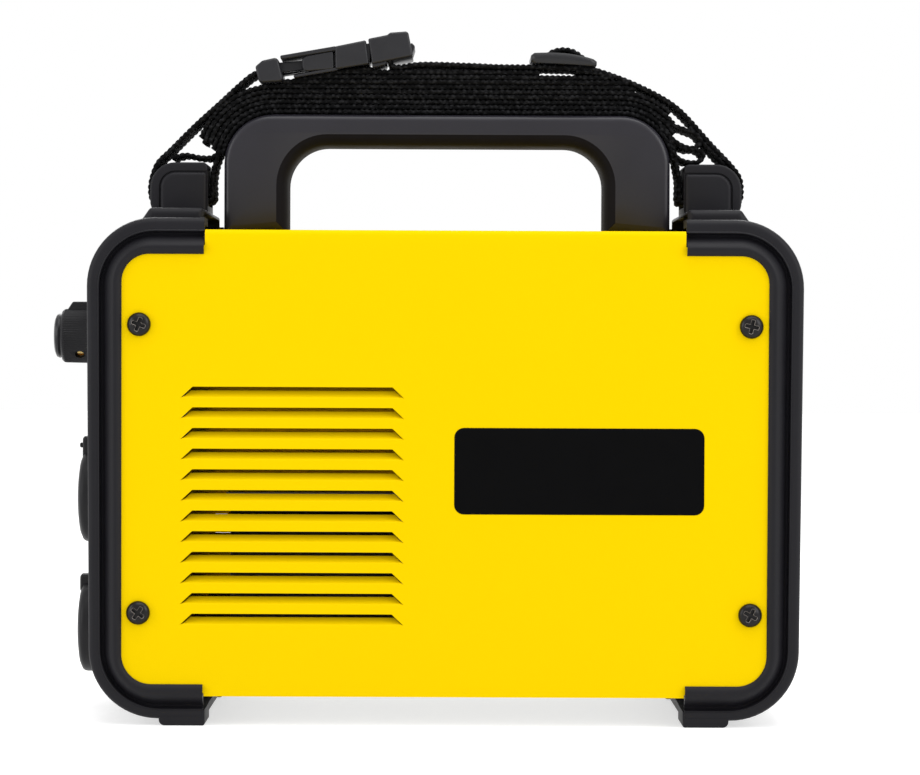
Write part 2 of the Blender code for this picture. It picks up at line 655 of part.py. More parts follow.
# --- inside ---------------------------------------------------------------------------------------
def build_heatsink(name, side, root):
    """Extruded aluminium profile: a web along the case with fins towards the near or far side."""
    web = 18.0
    tip = 50.0
    outline = [(side * web, 33.0), (side * web, 96.0)]
    fins = 7
    for i in range(fins):
        z = 96.0 - i * 9.5
        outline += [(side * tip, z), (side * tip, z - 2.4)]
        if i < fins - 1:
            outline += [(side * (web + 5.0), z - 2.4), (side * (web + 5.0), z - 9.5)]
    outline.append((side * tip, 33.0))
    outline = outline[:-1]
    return new_part(name, prism(outline, "X", -92.0, -12.0), "aluminium", root, False)


def build_inside(root):
    low = COVER_BOTTOM + 1.6
    for x in (-88.0, 88.0):
        for y, hand in ((-50.0, "near"), (50.0, "far")):
            end = "front" if x < 0 else "rear"
            post = cylinder("Z", (x, y), 3.5, low + GAP, 23.4, 8)
            new_part(f"board_post_{end}_{hand}", post, "zinc_steel", root)
    new_part("main_board", block(-100, -57, 23.7, 100, 57, 25.3), "circuit_board", root, False)
    build_heatsink("heatsink_near", -1, root)
    build_heatsink("heatsink_far", 1, root)
    new_part("bridge_rectifier", block(-40, -14, 25.6, -12, 14, 36.0), "black_plastic", root, False)
    for i, x in enumerate((-80.0, -54.0)):
        body = turned([(25.6, 0), (25.6, 11.0), (69.0, 11.0), (70.0, 10.0), (70.0, 0)], "Z", (x, 0), 20)
        new_part(f"bulk_capacitor_{i + 1}", body, "black_satin", root)
    core = new_part("transformer_core", block(4, -32, 25.6, 52, 32, 82.0), "ferrite", root, False)
    cut(core, block(-5, -22, 36.0, 60, -9.5, 71.5), block(-5, 9.5, 36.0, 60, 22, 71.5))
    winding = block(-2, -20.0, 37.0, 58, 20.0, 70.5, 2.0)
    coil = new_part("transformer_winding", winding, "copper", root)
    cut(coil, block(3.4, -10.4, 30.0, 52.6, 10.4, 80.0))
    new_part("output_choke", tube("Z", (84, 0), 25.0, 12.0, 25.6, 46.0, 28), "copper", root)
    board = block(-118.0, -48, 112.0, -116.4, 48, 196.0)
    new_part("control_board", board, "circuit_board", root, False)


# --- shoulder strap -------------------------------------------------------------------------------
def build_bundle(root):
    """Folded middle of the strap, lying on the handle."""
    left, right = HANDLE_X[0] - 0.5, HANDLE_X[1] + 0.5
    top = HANDLE_TOP + 0.5
    corners = [(left - 0.4, 245.0, 0), (left, 247.0, 0), (left, top, 22.0), (right, top, 22.0),
               (right, 246.0, 0), (right + 0.5, 243.0, 0), (112.0, 241.0, 2.0), (107.0, 251.0, 6.0),
               (90.0, 266.6, 12.0), (72.0, 274.6, 6.0), (57.0, 275.7, 4.0), (41.0, 275.8, 3.0),
               (35.0, 278.6, 3.0), (-20.0, 278.4, 20.0), (-40.0, 276.4, 10.0), (-58.0, 273.0, 10.0),
               (-71.0, 270.2, 8.0), (-86.5, 268.6, 6.0), (-97.5, 257.0, 6.0), (-105.0, 248.6, 2.0),
               (-99.0, 245.6, 0)]
    bm = prism(rounded(corners, 4), "Y", -STRAP_SIDE, STRAP_SIDE)
    new_part("strap_bundle", bm, "webbing", root)


def lug_wrap(s):
    """Corners of the strap's way round a lug: down its back, through its slot and up its front."""
    near, far = LUG_X
    out = far - 1.2 + 0.4 + STRAP / 2
    through = (SLOT_Z[0] + SLOT_Z[1]) / 2 - 0.15
    return [(s * (out - 7.0), LUG_TOP + 3.2, 10.0), (s * out, LUG_TOP - 6.5, 10.0),
            (s * out, through, 2.6), (s * (near - 1.9), through, 2.6),
            (s * (near - 1.9), LUG_TOP - 4.0, 6.0), (s * (near - 3.2), LUG_TOP + 3.6, 0)]


def open_path(corners, steps=5):
    """Like rounded(), for a path whose two ends stay sharp."""
    return rounded([(*corners[0][:2], 0), *corners[1:-1], (*corners[-1][:2], 0)], steps)


def build_front_run(root):
    """From the buckle's plug down to the front lug and back up to the bundle."""
    start = buckle_point(-1.5, 0.0)
    corners = [(start[0], start[1], 0), (-92.4, 268.2, 8.0), (-109.4, 252.3, 8.0), *lug_wrap(-1)]
    path = open_path(corners)
    new_part("strap_front_run", ribbon(path, STRAP_SIDE, STRAP), "webbing", root)


def build_rear_run(root):
    """From the buckle's socket through the slider down to the rear lug and back up."""
    corners = [(-11.6, 280.1, 0), (9.0, 280.1, 20.0), (19.0, SLIDER_Z, 20.0),
               (SLIDER_X + 15.6, SLIDER_Z, 5.0), (83.0, 272.7, 30.0), (101.0, 263.0, 8.0),
               (107.4, 255.0, 6.0), *lug_wrap(1)]
    path = open_path(corners)
    new_part("strap_rear_run", ribbon(path, STRAP_SIDE, STRAP), "webbing", root)


def buckle_point(along, up):
    """Point of the buckle's side view, from its plug's free end, in X and Z."""
    tilt = math.radians(BUCKLE_TILT)
    x, z = BUCKLE_START
    return (x + along * math.cos(tilt) - up * math.sin(tilt),
            z + along * math.sin(tilt) + up * math.cos(tilt))


def buckle_place():
    x, z = BUCKLE_START
    return Matrix.Translation((x, 0, z)) @ Matrix.Rotation(math.radians(-BUCKLE_TILT), 4, "Y")


def build_buckle(root, slide):
    place_it = buckle_place()
    wedge = [(0.0, 1.4), (0.0, 4.2), (13.0, 5.9), (13.0, -5.4), (7.5, -5.5), (3.0, -4.6)]
    plug = new_part("buckle_plug", moved(prism(wedge, "Y", -16, 16, 0.8), place_it),
                    "black_plastic", slide)
    join(plug, moved(block(12, -12.4, -3.0, 19, 12.4, 3.0), place_it))
    for side in (-1, 1):
        low, high = sorted((side * 8.6, side * 12.6))
        join(plug, moved(block(18, low, -2.8, 46, high, 2.8), place_it))
    join(plug, moved(block(18, -2.0, -2.0, 42, 2.0, 2.0), place_it))
    cut(plug, moved(block(3.5, -13.2, -8, 9.5, 13.2, 8), place_it))
    body = moved(block(20, -16, -5.4, 69.4, 16, 5.4, 1.2), place_it)
    socket = new_part("buckle_socket", body, "black_plastic", root)
    cut(socket, moved(block(15, -13.2, -3.4, 50, 13.2, 3.4), place_it))
    for side in (-1, 1):
        low, high = sorted((side * 12.0, side * 20.0))
        cut(socket, moved(block(24, low, -2.9, 35, high, 2.9), place_it))
    rear = [(50.0, 4.0), (52.4, 7.0), (64.8, 7.0), (70.2, 2.6), (70.2, -6.4), (66.0, -6.2),
            (60.0, -4.0)]
    join(socket, moved(prism(rear, "Y", -16, 16, 0.8), place_it))
    cut(socket, moved(block(55, -13.2, -12, 58.5, 13.2, 12), place_it))
    cut(socket, moved(block(61.5, -13.2, -12, 65.5, 13.2, 12), place_it))


def build_slider(slide):
    turn = Matrix.Translation((SLIDER_X, 0, SLIDER_Z))
    slider = new_part("strap_slider", moved(block(-14, -15.5, -2.7, 14, 15.5, 3.6, 1.0), turn),
                      "black_plastic", slide)
    cut(slider, moved(block(-20, -13.0, -1.9, 20, 13.0, 1.9), turn))
    for side in (-1, 1):
        low, high = sorted((side * 3.0, side * 9.5))
        cut(slider, moved(block(low, -13.0, 0, high, 13.0, 8), turn))


def main():
    clear_scene()
    root = empty("welder", (0, 0, 0))
    root.location = (SHIFT_X * MM, 0, LIFT * MM)
    knob_axis = empty("knob_axis", (-FASCIA_FRONT, 0, KNOB_Z), root)
    fan_axis = empty("fan_axis", (FAN_X[0], 0, FAN_Z), root)
    rocker_axis = empty("rocker_axis", (ROCKER_AXIS_X, SWITCH_Y, SWITCH_Z), root)
    plug_axis = empty("plug_axis", (BUCKLE_START[0], 0, BUCKLE_START[1]), root)
    slider_axis = empty("slider_axis", (SLIDER_X, 0, SLIDER_Z), root)

    for s, name in ((-1, "front_frame"), (1, "rear_frame")):
        frame = build_frame(s, name, root)
        half = WINDOW_SIDE if s < 0 else REAR_WINDOW_SIDE
        window = rounded(box_outline(-half, WINDOW_Z[0], half, WINDOW_Z[1], 8.3), 4)
        low, high = sorted((s * 140.0, s * 155.0))
        cut(frame, prism(window, "X", low, high))
        if s < 0:
            cut(frame, cylinder("X", (0, SOCKET_Z[1]), 15.0, low, high, 24))
        add_screw_bosses(frame, s)
    build_cover(root)
    build_base_plate(root)
    build_handle(root)
    build_cover_screws(root)
    build_handle_screws(root)
    build_front_panel(root)
    build_dial_plate(root)
    build_knob(root, knob_axis)
    build_potentiometer(root)
    build_lenses(root)
    build_sockets(root)
    build_busbars(root)
    build_rear_panel(root)
    build_fan(root, fan_axis)
    build_switch(root, rocker_axis)
    build_gland(root)
    build_inside(root)
    build_bundle(root)
    build_front_run(root)
    build_rear_run(root)
    build_buckle(root, plug_axis)
    build_slider(slider_axis)


main()
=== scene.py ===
"""Look of the portable stick welder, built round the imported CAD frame.

Lengths in this script are case millimetres, as in the CAD source: X = 0 is the middle of the case,
Z = 0 lies 0.8 mm above the floor. at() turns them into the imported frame's metres.
In the functions, s is one of ENDS and side is one of HANDS.
"""
import json
import math

import bmesh
import bpy
from mathutils import Matrix, Vector


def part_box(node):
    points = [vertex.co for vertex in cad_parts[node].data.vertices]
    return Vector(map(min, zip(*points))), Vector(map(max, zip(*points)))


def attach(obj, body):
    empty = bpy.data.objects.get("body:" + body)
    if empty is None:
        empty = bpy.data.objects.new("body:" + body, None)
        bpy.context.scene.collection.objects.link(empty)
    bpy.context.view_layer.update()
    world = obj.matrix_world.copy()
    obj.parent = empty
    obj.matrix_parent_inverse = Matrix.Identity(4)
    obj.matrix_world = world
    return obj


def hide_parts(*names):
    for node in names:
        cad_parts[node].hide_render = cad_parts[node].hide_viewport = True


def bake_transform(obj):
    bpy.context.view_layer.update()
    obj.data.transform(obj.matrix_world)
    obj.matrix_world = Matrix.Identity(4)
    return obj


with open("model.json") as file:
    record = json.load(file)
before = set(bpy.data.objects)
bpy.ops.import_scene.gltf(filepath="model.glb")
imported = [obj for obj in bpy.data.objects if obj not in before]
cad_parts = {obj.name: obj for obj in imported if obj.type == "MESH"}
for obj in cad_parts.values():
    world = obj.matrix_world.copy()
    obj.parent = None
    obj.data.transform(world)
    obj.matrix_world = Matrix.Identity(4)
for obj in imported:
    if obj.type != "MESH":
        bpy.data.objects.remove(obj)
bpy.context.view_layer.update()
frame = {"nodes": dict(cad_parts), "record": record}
NODES = frame["nodes"]

ENDS = {"front": -1, "rear": 1}  # the knob and sockets are at the front, the fan and switch at the rear
HANDS = {"near": -1, "far": 1}   # the camera sees the near side

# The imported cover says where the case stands: half the sum of its ends, and its lower edge.
COVER_BOTTOM = 11.8
cover_low, cover_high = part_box("cover")
SHIFT = (cover_low[0] + cover_high[0]) * 500.0
LIFT = cover_low[2] * 1000.0 - COVER_BOTTOM


def at(x, y, z):
    return Vector(((x + SHIFT) / 1000.0, y / 1000.0, (z + LIFT) / 1000.0))


# --- case dimensions ------------------------------------------------------------------------------
# Outlines of the end frames' moulding, from the outer edge inwards to the line where it grips the
# cover, and of its hollow: half the case's length at the upper and at the lower corners, the lowest
# and the highest Z, the lower and the upper corner radius. EDGE and RIDGE stand up to 1.5 mm
# outside the CAD's, and their corners are slightly rounder.
EDGE = (149.9, 148.2, 1.9, 211.2, 29.0, 28.6)
RIDGE = (144.6, 143.4, 6.1, 205.6, 25.4, 23.4)
SIGHT = (134.6, 134.2, 16.8, 195.8, 12.4, 11.6)
TUCK = (138.4, 138.4, 12.8, 199.8, 16.4, 15.6)
HOLLOW = (146.4, 144.8, 5.4, 207.8, 25.6, 25.2)
HOLLOW_HALF = 62.6
LEG_END = 100.4
WINDOW_HALF = {-1: 46.0, 1: 54.0}
WINDOW_LOW, WINDOW_HIGH, WINDOW_CORNER = 22.0, 190.0, 8.0
COLLAR = 4.0
FOOT_IN, FOOT_OUT, FOOT_BOTTOM = 99.7, 118.9, -0.8
FOOT_MIDDLE, FOOT_HALF = 52.6, 13.1
HUMP_IN, HUMP_TOP, HUMP_HALF = 102.2, 215.9, 50.0
COVER_SIDE = 68.0
COVER_TOP = 206.1
COVER_END = 100.0
SHEET = 1.2
HANDLE_X = (-96.0, 97.0)
HANDLE_TOP, HANDLE_CORNER = 258.0, 21.6
OPENING_HALF, OPENING_TOP, OPENING_CORNER = 68.1, 244.1, 17.0
LOUVRES, LOUVRE_TOP, LOUVRE_PITCH, LOUVRE_HEIGHT = 12, 140.7, 8.59, 4.7
LOUVRE_LEFT, LOUVRE_RIGHT = -110.0, -16.9
LOUVRE_TAPER = (5.0, 4.9)  # how far a louvre's upper edge is shorter at its left and right end
DECAL_LEFT, DECAL_LOW, DECAL_RIGHT, DECAL_HIGH = 4.0, 88.0, 108.0, 124.0
SCREW_X = 127.3
SCREW_Z = {"upper": 166.5, "lower": 46.5}
PANEL_FACE = -148.5
KNOB_Z = 161.8
SOCKET_Z = {"plus": 91.6, "minus": 34.9}
SIGN_Y = 26.0
WEB_HALF = 12.4


# --- materials ------------------------------------------------------------------------------------
def shaded(name, colour, rough, metal=0.0, spec=0.5, vary=0.12, vary_scale=90.0, grain=0.1,
           grain_scale=2200.0, grain_depth=0.00006):
    """Surface whose colour and roughness drift slowly, with a fine grain in its relief."""
    mat = bpy.data.materials.new(name)
    mat.use_nodes = True
    tree = mat.node_tree
    new, link = tree.nodes.new, tree.links.new
    shader = tree.nodes["Principled BSDF"]
    shader.inputs["Metallic"].default_value = metal
    shader.inputs["Specular IOR Level"].default_value = spec
    where = new("ShaderNodeTexCoord")
    drift = new("ShaderNodeTexNoise")
    drift.inputs["Scale"].default_value = vary_scale
    drift.inputs["Detail"].default_value = 4.0
    link(where.outputs["Object"], drift.inputs["Vector"])
    tint = new("ShaderNodeMix")
    tint.data_type = "RGBA"
    tint.inputs["A"].default_value = (*[c * (1 - vary) for c in colour], 1)
    tint.inputs["B"].default_value = (*[min(c * (1 + vary), 1) for c in colour], 1)
    link(drift.outputs["Fac"], tint.inputs["Factor"])
    link(tint.outputs["Result"], shader.inputs["Base Color"])
    spread = new("ShaderNodeMapRange")
    spread.inputs["To Min"].default_value = max(rough - 0.07, 0.03)
    spread.inputs["To Max"].default_value = min(rough + 0.07, 1.0)
    link(drift.outputs["Fac"], spread.inputs["Value"])
    link(spread.outputs["Result"], shader.inputs["Roughness"])
    fine = new("ShaderNodeTexNoise")
    fine.inputs["Scale"].default_value = grain_scale
    fine.inputs["Detail"].default_value = 3.0
    link(where.outputs["Object"], fine.inputs["Vector"])
    bump = new("ShaderNodeBump")
    bump.inputs["Strength"].default_value = grain
    bump.inputs["Distance"].default_value = grain_depth
    link(fine.outputs["Fac"], bump.inputs["Height"])
    link(bump.outputs["Normal"], shader.inputs["Normal"])
    return mat


def woven(name, dark, crown_highlight):
    """Coarse knitted webbing: rounded knots in relief, with a painted highlight on their crowns."""
    mat = shaded(name, dark, 0.9, spec=0.06)
    tree = mat.node_tree
    new, link = tree.nodes.new, tree.links.new
    shader = tree.nodes["Principled BSDF"]
    where = new("ShaderNodeTexCoord")
    knots = new("ShaderNodeTexVoronoi")
    knots.feature = "SMOOTH_F1"
    knots.inputs["Scale"].default_value = 520.0
    knots.inputs["Smoothness"].default_value = 0.35
    link(where.outputs["Object"], knots.inputs["Vector"])
    crown = new("ShaderNodeMapRange")
    crown.inputs["From Min"].default_value = 0.15
    crown.inputs["From Max"].default_value = 0.6
    crown.inputs["To Min"].default_value = 1.0
    crown.inputs["To Max"].default_value = 0.0
    link(knots.outputs["Distance"], crown.inputs["Value"])
    # The knots' crowns are mixed towards the second colour: a painted highlight.
    tint = new("ShaderNodeMix")
    tint.data_type = "RGBA"
    tint.inputs["A"].default_value = (*dark, 1)
    tint.inputs["B"].default_value = (*crown_highlight, 1)
    link(crown.outputs["Result"], tint.inputs["Factor"])
    link(tint.outputs["Result"], shader.inputs["Base Color"])
    threads = new("ShaderNodeTexNoise")
    threads.inputs["Scale"].default_value = 2600.0
    link(where.outputs["Object"], threads.inputs["Vector"])
    height = new("ShaderNodeMath")
    height.operation = "MULTIPLY_ADD"
    height.inputs[1].default_value = 0.3
    link(threads.outputs["Fac"], height.inputs[0])
    link(crown.outputs["Result"], height.inputs[2])
    bump = new("ShaderNodeBump")
    bump.inputs["Strength"].default_value = 0.9
    bump.inputs["Distance"].default_value = 0.0005
    link(height.outputs[0], bump.inputs["Height"])
    link(bump.outputs["Normal"], shader.inputs["Normal"])
    return mat


LOOKS = {
    "cover_coat": dict(colour=(0.655, 0.452, 0.0002), rough=0.4, spec=0.01, vary=0.012, vary_scale=14,
                       grain=0.12, grain_scale=900, grain_depth=0.00004),
    "frame_plastic": dict(colour=(0.0068, 0.0065, 0.0085), rough=0.5, spec=0.16, vary=0.15, grain=0.35,
                          grain_scale=1500, grain_depth=0.00008),
    "handle_plastic": dict(colour=(0.013, 0.0122, 0.0165), rough=0.32, spec=0.28, vary=0.2, vary_scale=35,
                           grain=0.08, grain_scale=1200),
    # A darker, duller copy of the handle's plastic: painted shade for the faces in the hand opening.
    "handle_opening_shade": dict(colour=(0.007, 0.0066, 0.0085), rough=0.6, spec=0.03, vary=0.2, grain=0.1),
    "fascia_plastic": dict(colour=(0.0075, 0.0072, 0.0085), rough=0.45, spec=0.2, grain=0.4,
                           grain_scale=1500, grain_depth=0.00008),
    "dial_print": dict(colour=(0.05, 0.05, 0.055), rough=0.4, grain=0.1),
    "knob_plastic": dict(colour=(0.005, 0.0048, 0.0062), rough=0.36, spec=0.2, grain=0.2),
    "cap_plastic": dict(colour=(0.008, 0.008, 0.0095), rough=0.34, spec=0.25, grain=0.05),
    "buckle_plastic": dict(colour=(0.013, 0.013, 0.0152), rough=0.38, spec=0.24, vary=0.25, vary_scale=160,
                           grain=0.3, grain_scale=900, grain_depth=0.0001),
    "slider_plastic": dict(colour=(0.009, 0.009, 0.0105), rough=0.34, spec=0.28, vary=0.25, vary_scale=160,
                           grain=0.3, grain_scale=900, grain_depth=0.0001),
    "black_screw": dict(colour=(0.0035, 0.0028, 0.0031), rough=0.3, spec=0.22, vary=0.3, vary_scale=500,
                        grain=0.3, grain_scale=900),
    # Lighter metal on the screws' recess bevels: a painted glint.
    "screw_recess_glint": dict(colour=(0.16, 0.14, 0.125), rough=0.35, metal=0.5, vary=0.5, vary_scale=1500,
                       grain=0.2),
    "zinc_steel": dict(colour=(0.55, 0.55, 0.52), rough=0.32, metal=1.0, vary=0.15, vary_scale=200,
                       grain=0.15),
    "brass": dict(colour=(0.72, 0.52, 0.2), rough=0.28, metal=1.0, vary=0.15, vary_scale=300),
    "copper": dict(colour=(0.72, 0.33, 0.18), rough=0.35, metal=1.0, vary=0.2, vary_scale=200),
    "aluminium": dict(colour=(0.11, 0.11, 0.115), rough=0.45, metal=1.0, vary=0.08),
    "circuit_board": dict(colour=(0.02, 0.14, 0.05), rough=0.4, vary=0.3, vary_scale=400),
    "ferrite": dict(colour=(0.05, 0.05, 0.055), rough=0.7, vary=0.2, vary_scale=500),
    "fan_plastic": dict(colour=(0.02, 0.02, 0.022), rough=0.42, grain=0.2),
    "switch_plastic": dict(colour=(0.02, 0.02, 0.022), rough=0.28, grain=0.05),
    "green_lens": dict(colour=(0.03, 0.42, 0.07), rough=0.12, vary=0.2, vary_scale=600),
    "amber_lens": dict(colour=(0.85, 0.36, 0.02), rough=0.12, vary=0.2, vary_scale=600),
    "capacitor_sleeve": dict(colour=(0.02, 0.02, 0.04), rough=0.25, vary=0.2),
    "decal_film": dict(colour=(0.0018, 0.0018, 0.002), rough=0.55, spec=0.03, vary=0.2),
    "dial_ink": dict(colour=(0.75, 0.75, 0.72), rough=0.5, vary=0.05),
}
M = {name: shaded(name, **look) for name, look in LOOKS.items()}
# The second colour is the painted highlight on the knots' crowns.
M["webbing"] = woven("webbing", dark=(0.003, 0.003, 0.0033), crown_highlight=(0.016, 0.016, 0.0172))
SLOT_OF = {row["node"]: row["material_slot"] for row in frame["record"]["subparts"]}


# --- mesh helpers ---------------------------------------------------------------------------------
def arc(here, before, after, radius, steps):
    """Points of the round corner that replaces here, between before and after."""
    to_last = (before - here).normalized()
    to_next = (after - here).normalized()
    half = to_last.angle(to_next) / 2.0
    reach = radius / math.tan(half)
    middle = here + (to_last + to_next).normalized() * (radius / math.sin(half))
    first = here + to_last * reach - middle
    last = here + to_next * reach - middle
    turn = first.angle_signed(last)
    return [middle + Matrix.Rotation(-turn * k / steps, 2) @ first for k in range(steps + 1)]


def rounded(corners, steps=8):
    """Closed outline from (u, v, radius) corners; a radius of 0 stays a sharp corner."""
    points = []
    count = len(corners)
    for i, (u, v, radius) in enumerate(corners):
        here = Vector((u, v))
        if radius <= 0:
            points.append(here)
        else:
            points += arc(here, Vector(corners[i - 1][:2]), Vector(corners[(i + 1) % count][:2]),
                          radius, steps)
    return points


def shrunk(corners, amount):
    """The same corners, moved inwards by amount; concave corners open up as convex ones close."""
    count = len(corners)
    area = sum(corners[i - 1][0] * corners[i][1] - corners[i][0] * corners[i - 1][1]
               for i in range(count))
    sign = 1.0 if area > 0 else -1.0
    result = []
    for i, (u, v, radius) in enumerate(corners):
        here = Vector((u, v))
        before = (here - Vector(corners[i - 1][:2])).normalized()
        after = (Vector(corners[(i + 1) % count][:2]) - here).normalized()
        left_before = Vector((-before.y, before.x)) * sign
        left_after = Vector((-after.y, after.x)) * sign
        shift = (left_before + left_after) / (1.0 + left_before.dot(left_after))
        convex = (before.x * after.y - before.y * after.x) * sign > 0
        if radius > 0:
            radius = max(radius - amount, 0.15) if convex else radius + amount
        moved = here + shift * amount
        result.append((moved.x, moved.y, radius))
    return result


def bridge(bm, rings):
    """Walls between rings of equal length and a lid at either end; returns the walls."""
    count = len(rings[0])
    walls = []
    for first, second in zip(rings, rings[1:]):
        for k in range(count):
            m = (k + 1) % count
            walls.append(bm.faces.new((first[k], first[m], second[m], second[k])))
    bm.faces.new(rings[0])
    bm.faces.new(rings[-1])
    return walls


def stack(corners, layers, steps=8, axis="Y"):
    """Closed solid from one outline: layers are (how far the outline shrinks, place on the axis)."""
    bm = bmesh.new()
    rings = []
    for amount, along in layers:
        ring = []
        for p in rounded(shrunk(corners, amount), steps):
            spot = {"Y": (p.x, along, p.y), "X": (along, p.x, p.y)}[axis]
            ring.append(bm.verts.new(spot))
        rings.append(ring)
    bridge(bm, rings)
    return bm


def pillow(corners, half, soft, steps, middle=0.0):
    """Stack from middle - half to middle + half in Y, whose end edges are rounded by soft."""
    turns = [(soft * (1 - math.cos(a)), half - soft * (1 - math.sin(a)))
             for a in (0.0, 0.4, 0.8, 1.2, math.pi / 2)]
    layers = [(amount, middle - along) for amount, along in reversed(turns)]
    layers += [(amount, middle + along) for amount, along in turns]
    return stack(corners, layers, steps)


def turned(profile, axis, centre, sides=48, ribs=0, rib_depth=0.0, ribbed=(0, 0)):
    """Solid of revolution of (place on the axis, radius); rings ribbed[0]..[1] carry fine ribs."""
    bm = bmesh.new()
    rings = []
    for i, (along, radius) in enumerate(profile):
        count = 1 if radius == 0 else sides
        ring = []
        for k in range(count):
            angle = math.tau * k / sides
            r = radius
            if ribs and ribbed[0] <= i <= ribbed[1]:
                r -= rib_depth * (0.5 + 0.5 * math.cos(ribs * angle))
            u = centre[0] + r * math.cos(angle)
            v = centre[1] + r * math.sin(angle)
            spot = {"Y": (u, along, v), "X": (along, u, v), "Z": (u, v, along)}[axis]
            ring.append(bm.verts.new(spot))
        rings.append(ring)
    for first, second in zip(rings, rings[1:]):
        for k in range(sides):
            m = (k + 1) % sides
            if len(first) == 1:
                bm.faces.new((first[0], second[m], second[k]))
            elif len(second) == 1:
                bm.faces.new((first[k], first[m], second[0]))
            else:
                bm.faces.new((first[k], first[m], second[m], second[k]))
    return bm


def merged(*meshes):
    """One bmesh that holds all of these, which are used up."""
    result = bmesh.new()
    for bm in meshes:
        part = bpy.data.meshes.new("part")
        bm.to_mesh(part)
        result.from_mesh(part)
        bm.free()
        bpy.data.meshes.remove(part)
    return result


def piece(name, bm, slot, body="root", stands_for=(), angle=32.0, material=None):
    """Visible object from a bmesh in case millimetres, riding on a body of the frame."""
    bmesh.ops.recalc_face_normals(bm, faces=bm.faces)
    for vert in bm.verts:
        vert.co = at(*vert.co)
    mesh = bpy.data.meshes.new(name)
    bm.to_mesh(mesh)
    bm.free()
    mesh.shade_smooth()
    mesh.set_sharp_from_angle(angle=math.radians(angle))
    mesh.materials.append(M[material or slot])
    obj = bpy.data.objects.new(name, mesh)
    bpy.context.scene.collection.objects.link(obj)
    if body:
        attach(obj, body)
    if stands_for:
        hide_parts(*stands_for)
    return obj


def carve(bm, *cutters):
    """bm minus the cutters, all in case millimetres."""
    target = bpy.data.objects.new("carve", bpy.data.meshes.new("carve"))
    bmesh.ops.recalc_face_normals(bm, faces=bm.faces)
    bm.to_mesh(target.data)
    bm.free()
    bpy.context.scene.collection.objects.link(target)
    tools = []
    for cutter in cutters:
        tool = bpy.data.objects.new("tool", bpy.data.meshes.new("tool"))
        bmesh.ops.recalc_face_normals(cutter, faces=cutter.faces)
        cutter.to_mesh(tool.data)
        cutter.free()
        bpy.context.scene.collection.objects.link(tool)
        step = target.modifiers.new("cut", "BOOLEAN")
        step.object = tool
        step.solver = "EXACT"
        tools.append(tool)
    graph = bpy.context.evaluated_depsgraph_get()
    result = bmesh.new()
    result.from_mesh(target.evaluated_get(graph).to_mesh())
    for obj in (target, *tools):
        bpy.data.objects.remove(obj, do_unlink=True)
    return result


def block(x0, y0, z0, x1, y1, z1):
    return stack([(x0, z0, 0), (x1, z0, 0), (x1, z1, 0), (x0, z1, 0)], [(0, y0), (0, y1)])


# --- frames ---------------------------------------------------------------------------------------
# Half of the moulding's section: how far along EDGE - RIDGE - SIGHT - TUCK, and its Y.
SECTION = [
    (0.0, 62.4), (0.03, 63.8), (0.12, 65.0), (0.28, 65.75), (0.48, 66.0), (0.90, 66.0),
    (0.94, 66.3), (0.985, 66.42), (1.02, 66.3), (1.03, 65.2), (1.05, 63.9), (1.10, 63.4), (1.17, 63.6),
    (1.24, 64.5), (1.33, 66.2), (1.43, 67.8), (1.53, 68.9), (1.63, 69.7), (1.72, 70.0),
    (1.81, 69.8), (1.89, 69.4), (1.96, 68.8), (2.0, 68.4), (2.01, 68.2), (3.0, 68.2), (3.0, 64.0)]


def outline_at(k):
    """Outline at step k of the section: whole numbers are EDGE, RIDGE, SIGHT and TUCK."""
    tiers = [EDGE, RIDGE, SIGHT, TUCK, TUCK]
    i = min(int(k), 3)
    share = k - i
    return [a + (b - a) * share for a, b in zip(tiers[i], tiers[i + 1])]


def side_path(s, outline):
    """One end's C-shaped run round an outline, from the upper leg to the lower one."""
    high_half, low_half, low, high, low_radius, high_radius = outline
    ends = [Vector((s * LEG_END, high)), Vector((s * LEG_END, low))]
    upper, lower = Vector((s * high_half, high)), Vector((s * low_half, low))
    return [ends[0], *arc(upper, ends[0], lower, high_radius, 16),
            *arc(lower, upper, ends[1], low_radius, 16), ends[1]]


def frame_shell(s):
    """Hollow C-shaped moulding with a window in its end wall and a collar round the window."""
    rows = [(outline_at(k), -y) for k, y in reversed(SECTION)]
    rows += [(outline_at(k), y) for k, y in SECTION]
    rows += [(HOLLOW, HOLLOW_HALF), (HOLLOW, -HOLLOW_HALF)]
    bm = bmesh.new()
    rings = [[bm.verts.new((p.x, y, p.y)) for p in side_path(s, outline)] for outline, y in rows]
    count = len(rings)
    for i in range(count):
        first, second = rings[i], rings[(i + 1) % count]
        for k in range(len(first) - 1):
            bm.faces.new((first[k], first[k + 1], second[k + 1], second[k]))
    for end in (0, -1):
        bm.faces.new([ring[end] for ring in rings])
    half = WINDOW_HALF[s]
    window = [(u, v, WINDOW_CORNER) for u, v in ((-half, WINDOW_LOW), (half, WINDOW_LOW),
                                                 (half, WINDOW_HIGH), (-half, WINDOW_HIGH))]
    low, high = sorted((s * 141.0, s * 156.0))
    shell = carve(bm, stack(window, [(0, low), (0, high)], 6, "X"))
    low, high = sorted((s * 138.2, s * 147.0))
    collar = carve(stack(window, [(-COLLAR, low), (-COLLAR, high)], 6, "X"),
                   stack(window, [(0, low - 1.0), (0, high + 1.0)], 6, "X"))
    return merged(shell, collar)


def foot(s, side):
    corners = [(s * FOOT_IN, FOOT_BOTTOM, 1.0), (s * FOOT_OUT, FOOT_BOTTOM, 2.4), (s * FOOT_OUT, 6.0, 0),
               (s * FOOT_IN, 6.0, 0)]
    return pillow(corners, FOOT_HALF, 0.8, 4, middle=side * FOOT_MIDDLE)


def hump(s):
    """Raised saddle on the frame's top that carries the strap lug."""
    corners = [(s * HUMP_IN, 204.8, 0), (s * HUMP_IN, HUMP_TOP, 1.4), (s * 124.7, HUMP_TOP, 2.0),
               (s * 127.9, 211.3, 3.0), (s * 135.0, 207.4, 0), (s * 120.0, 203.0, 0)]
    return carve(pillow(corners, HUMP_HALF, 2.8, 5), arch(s))


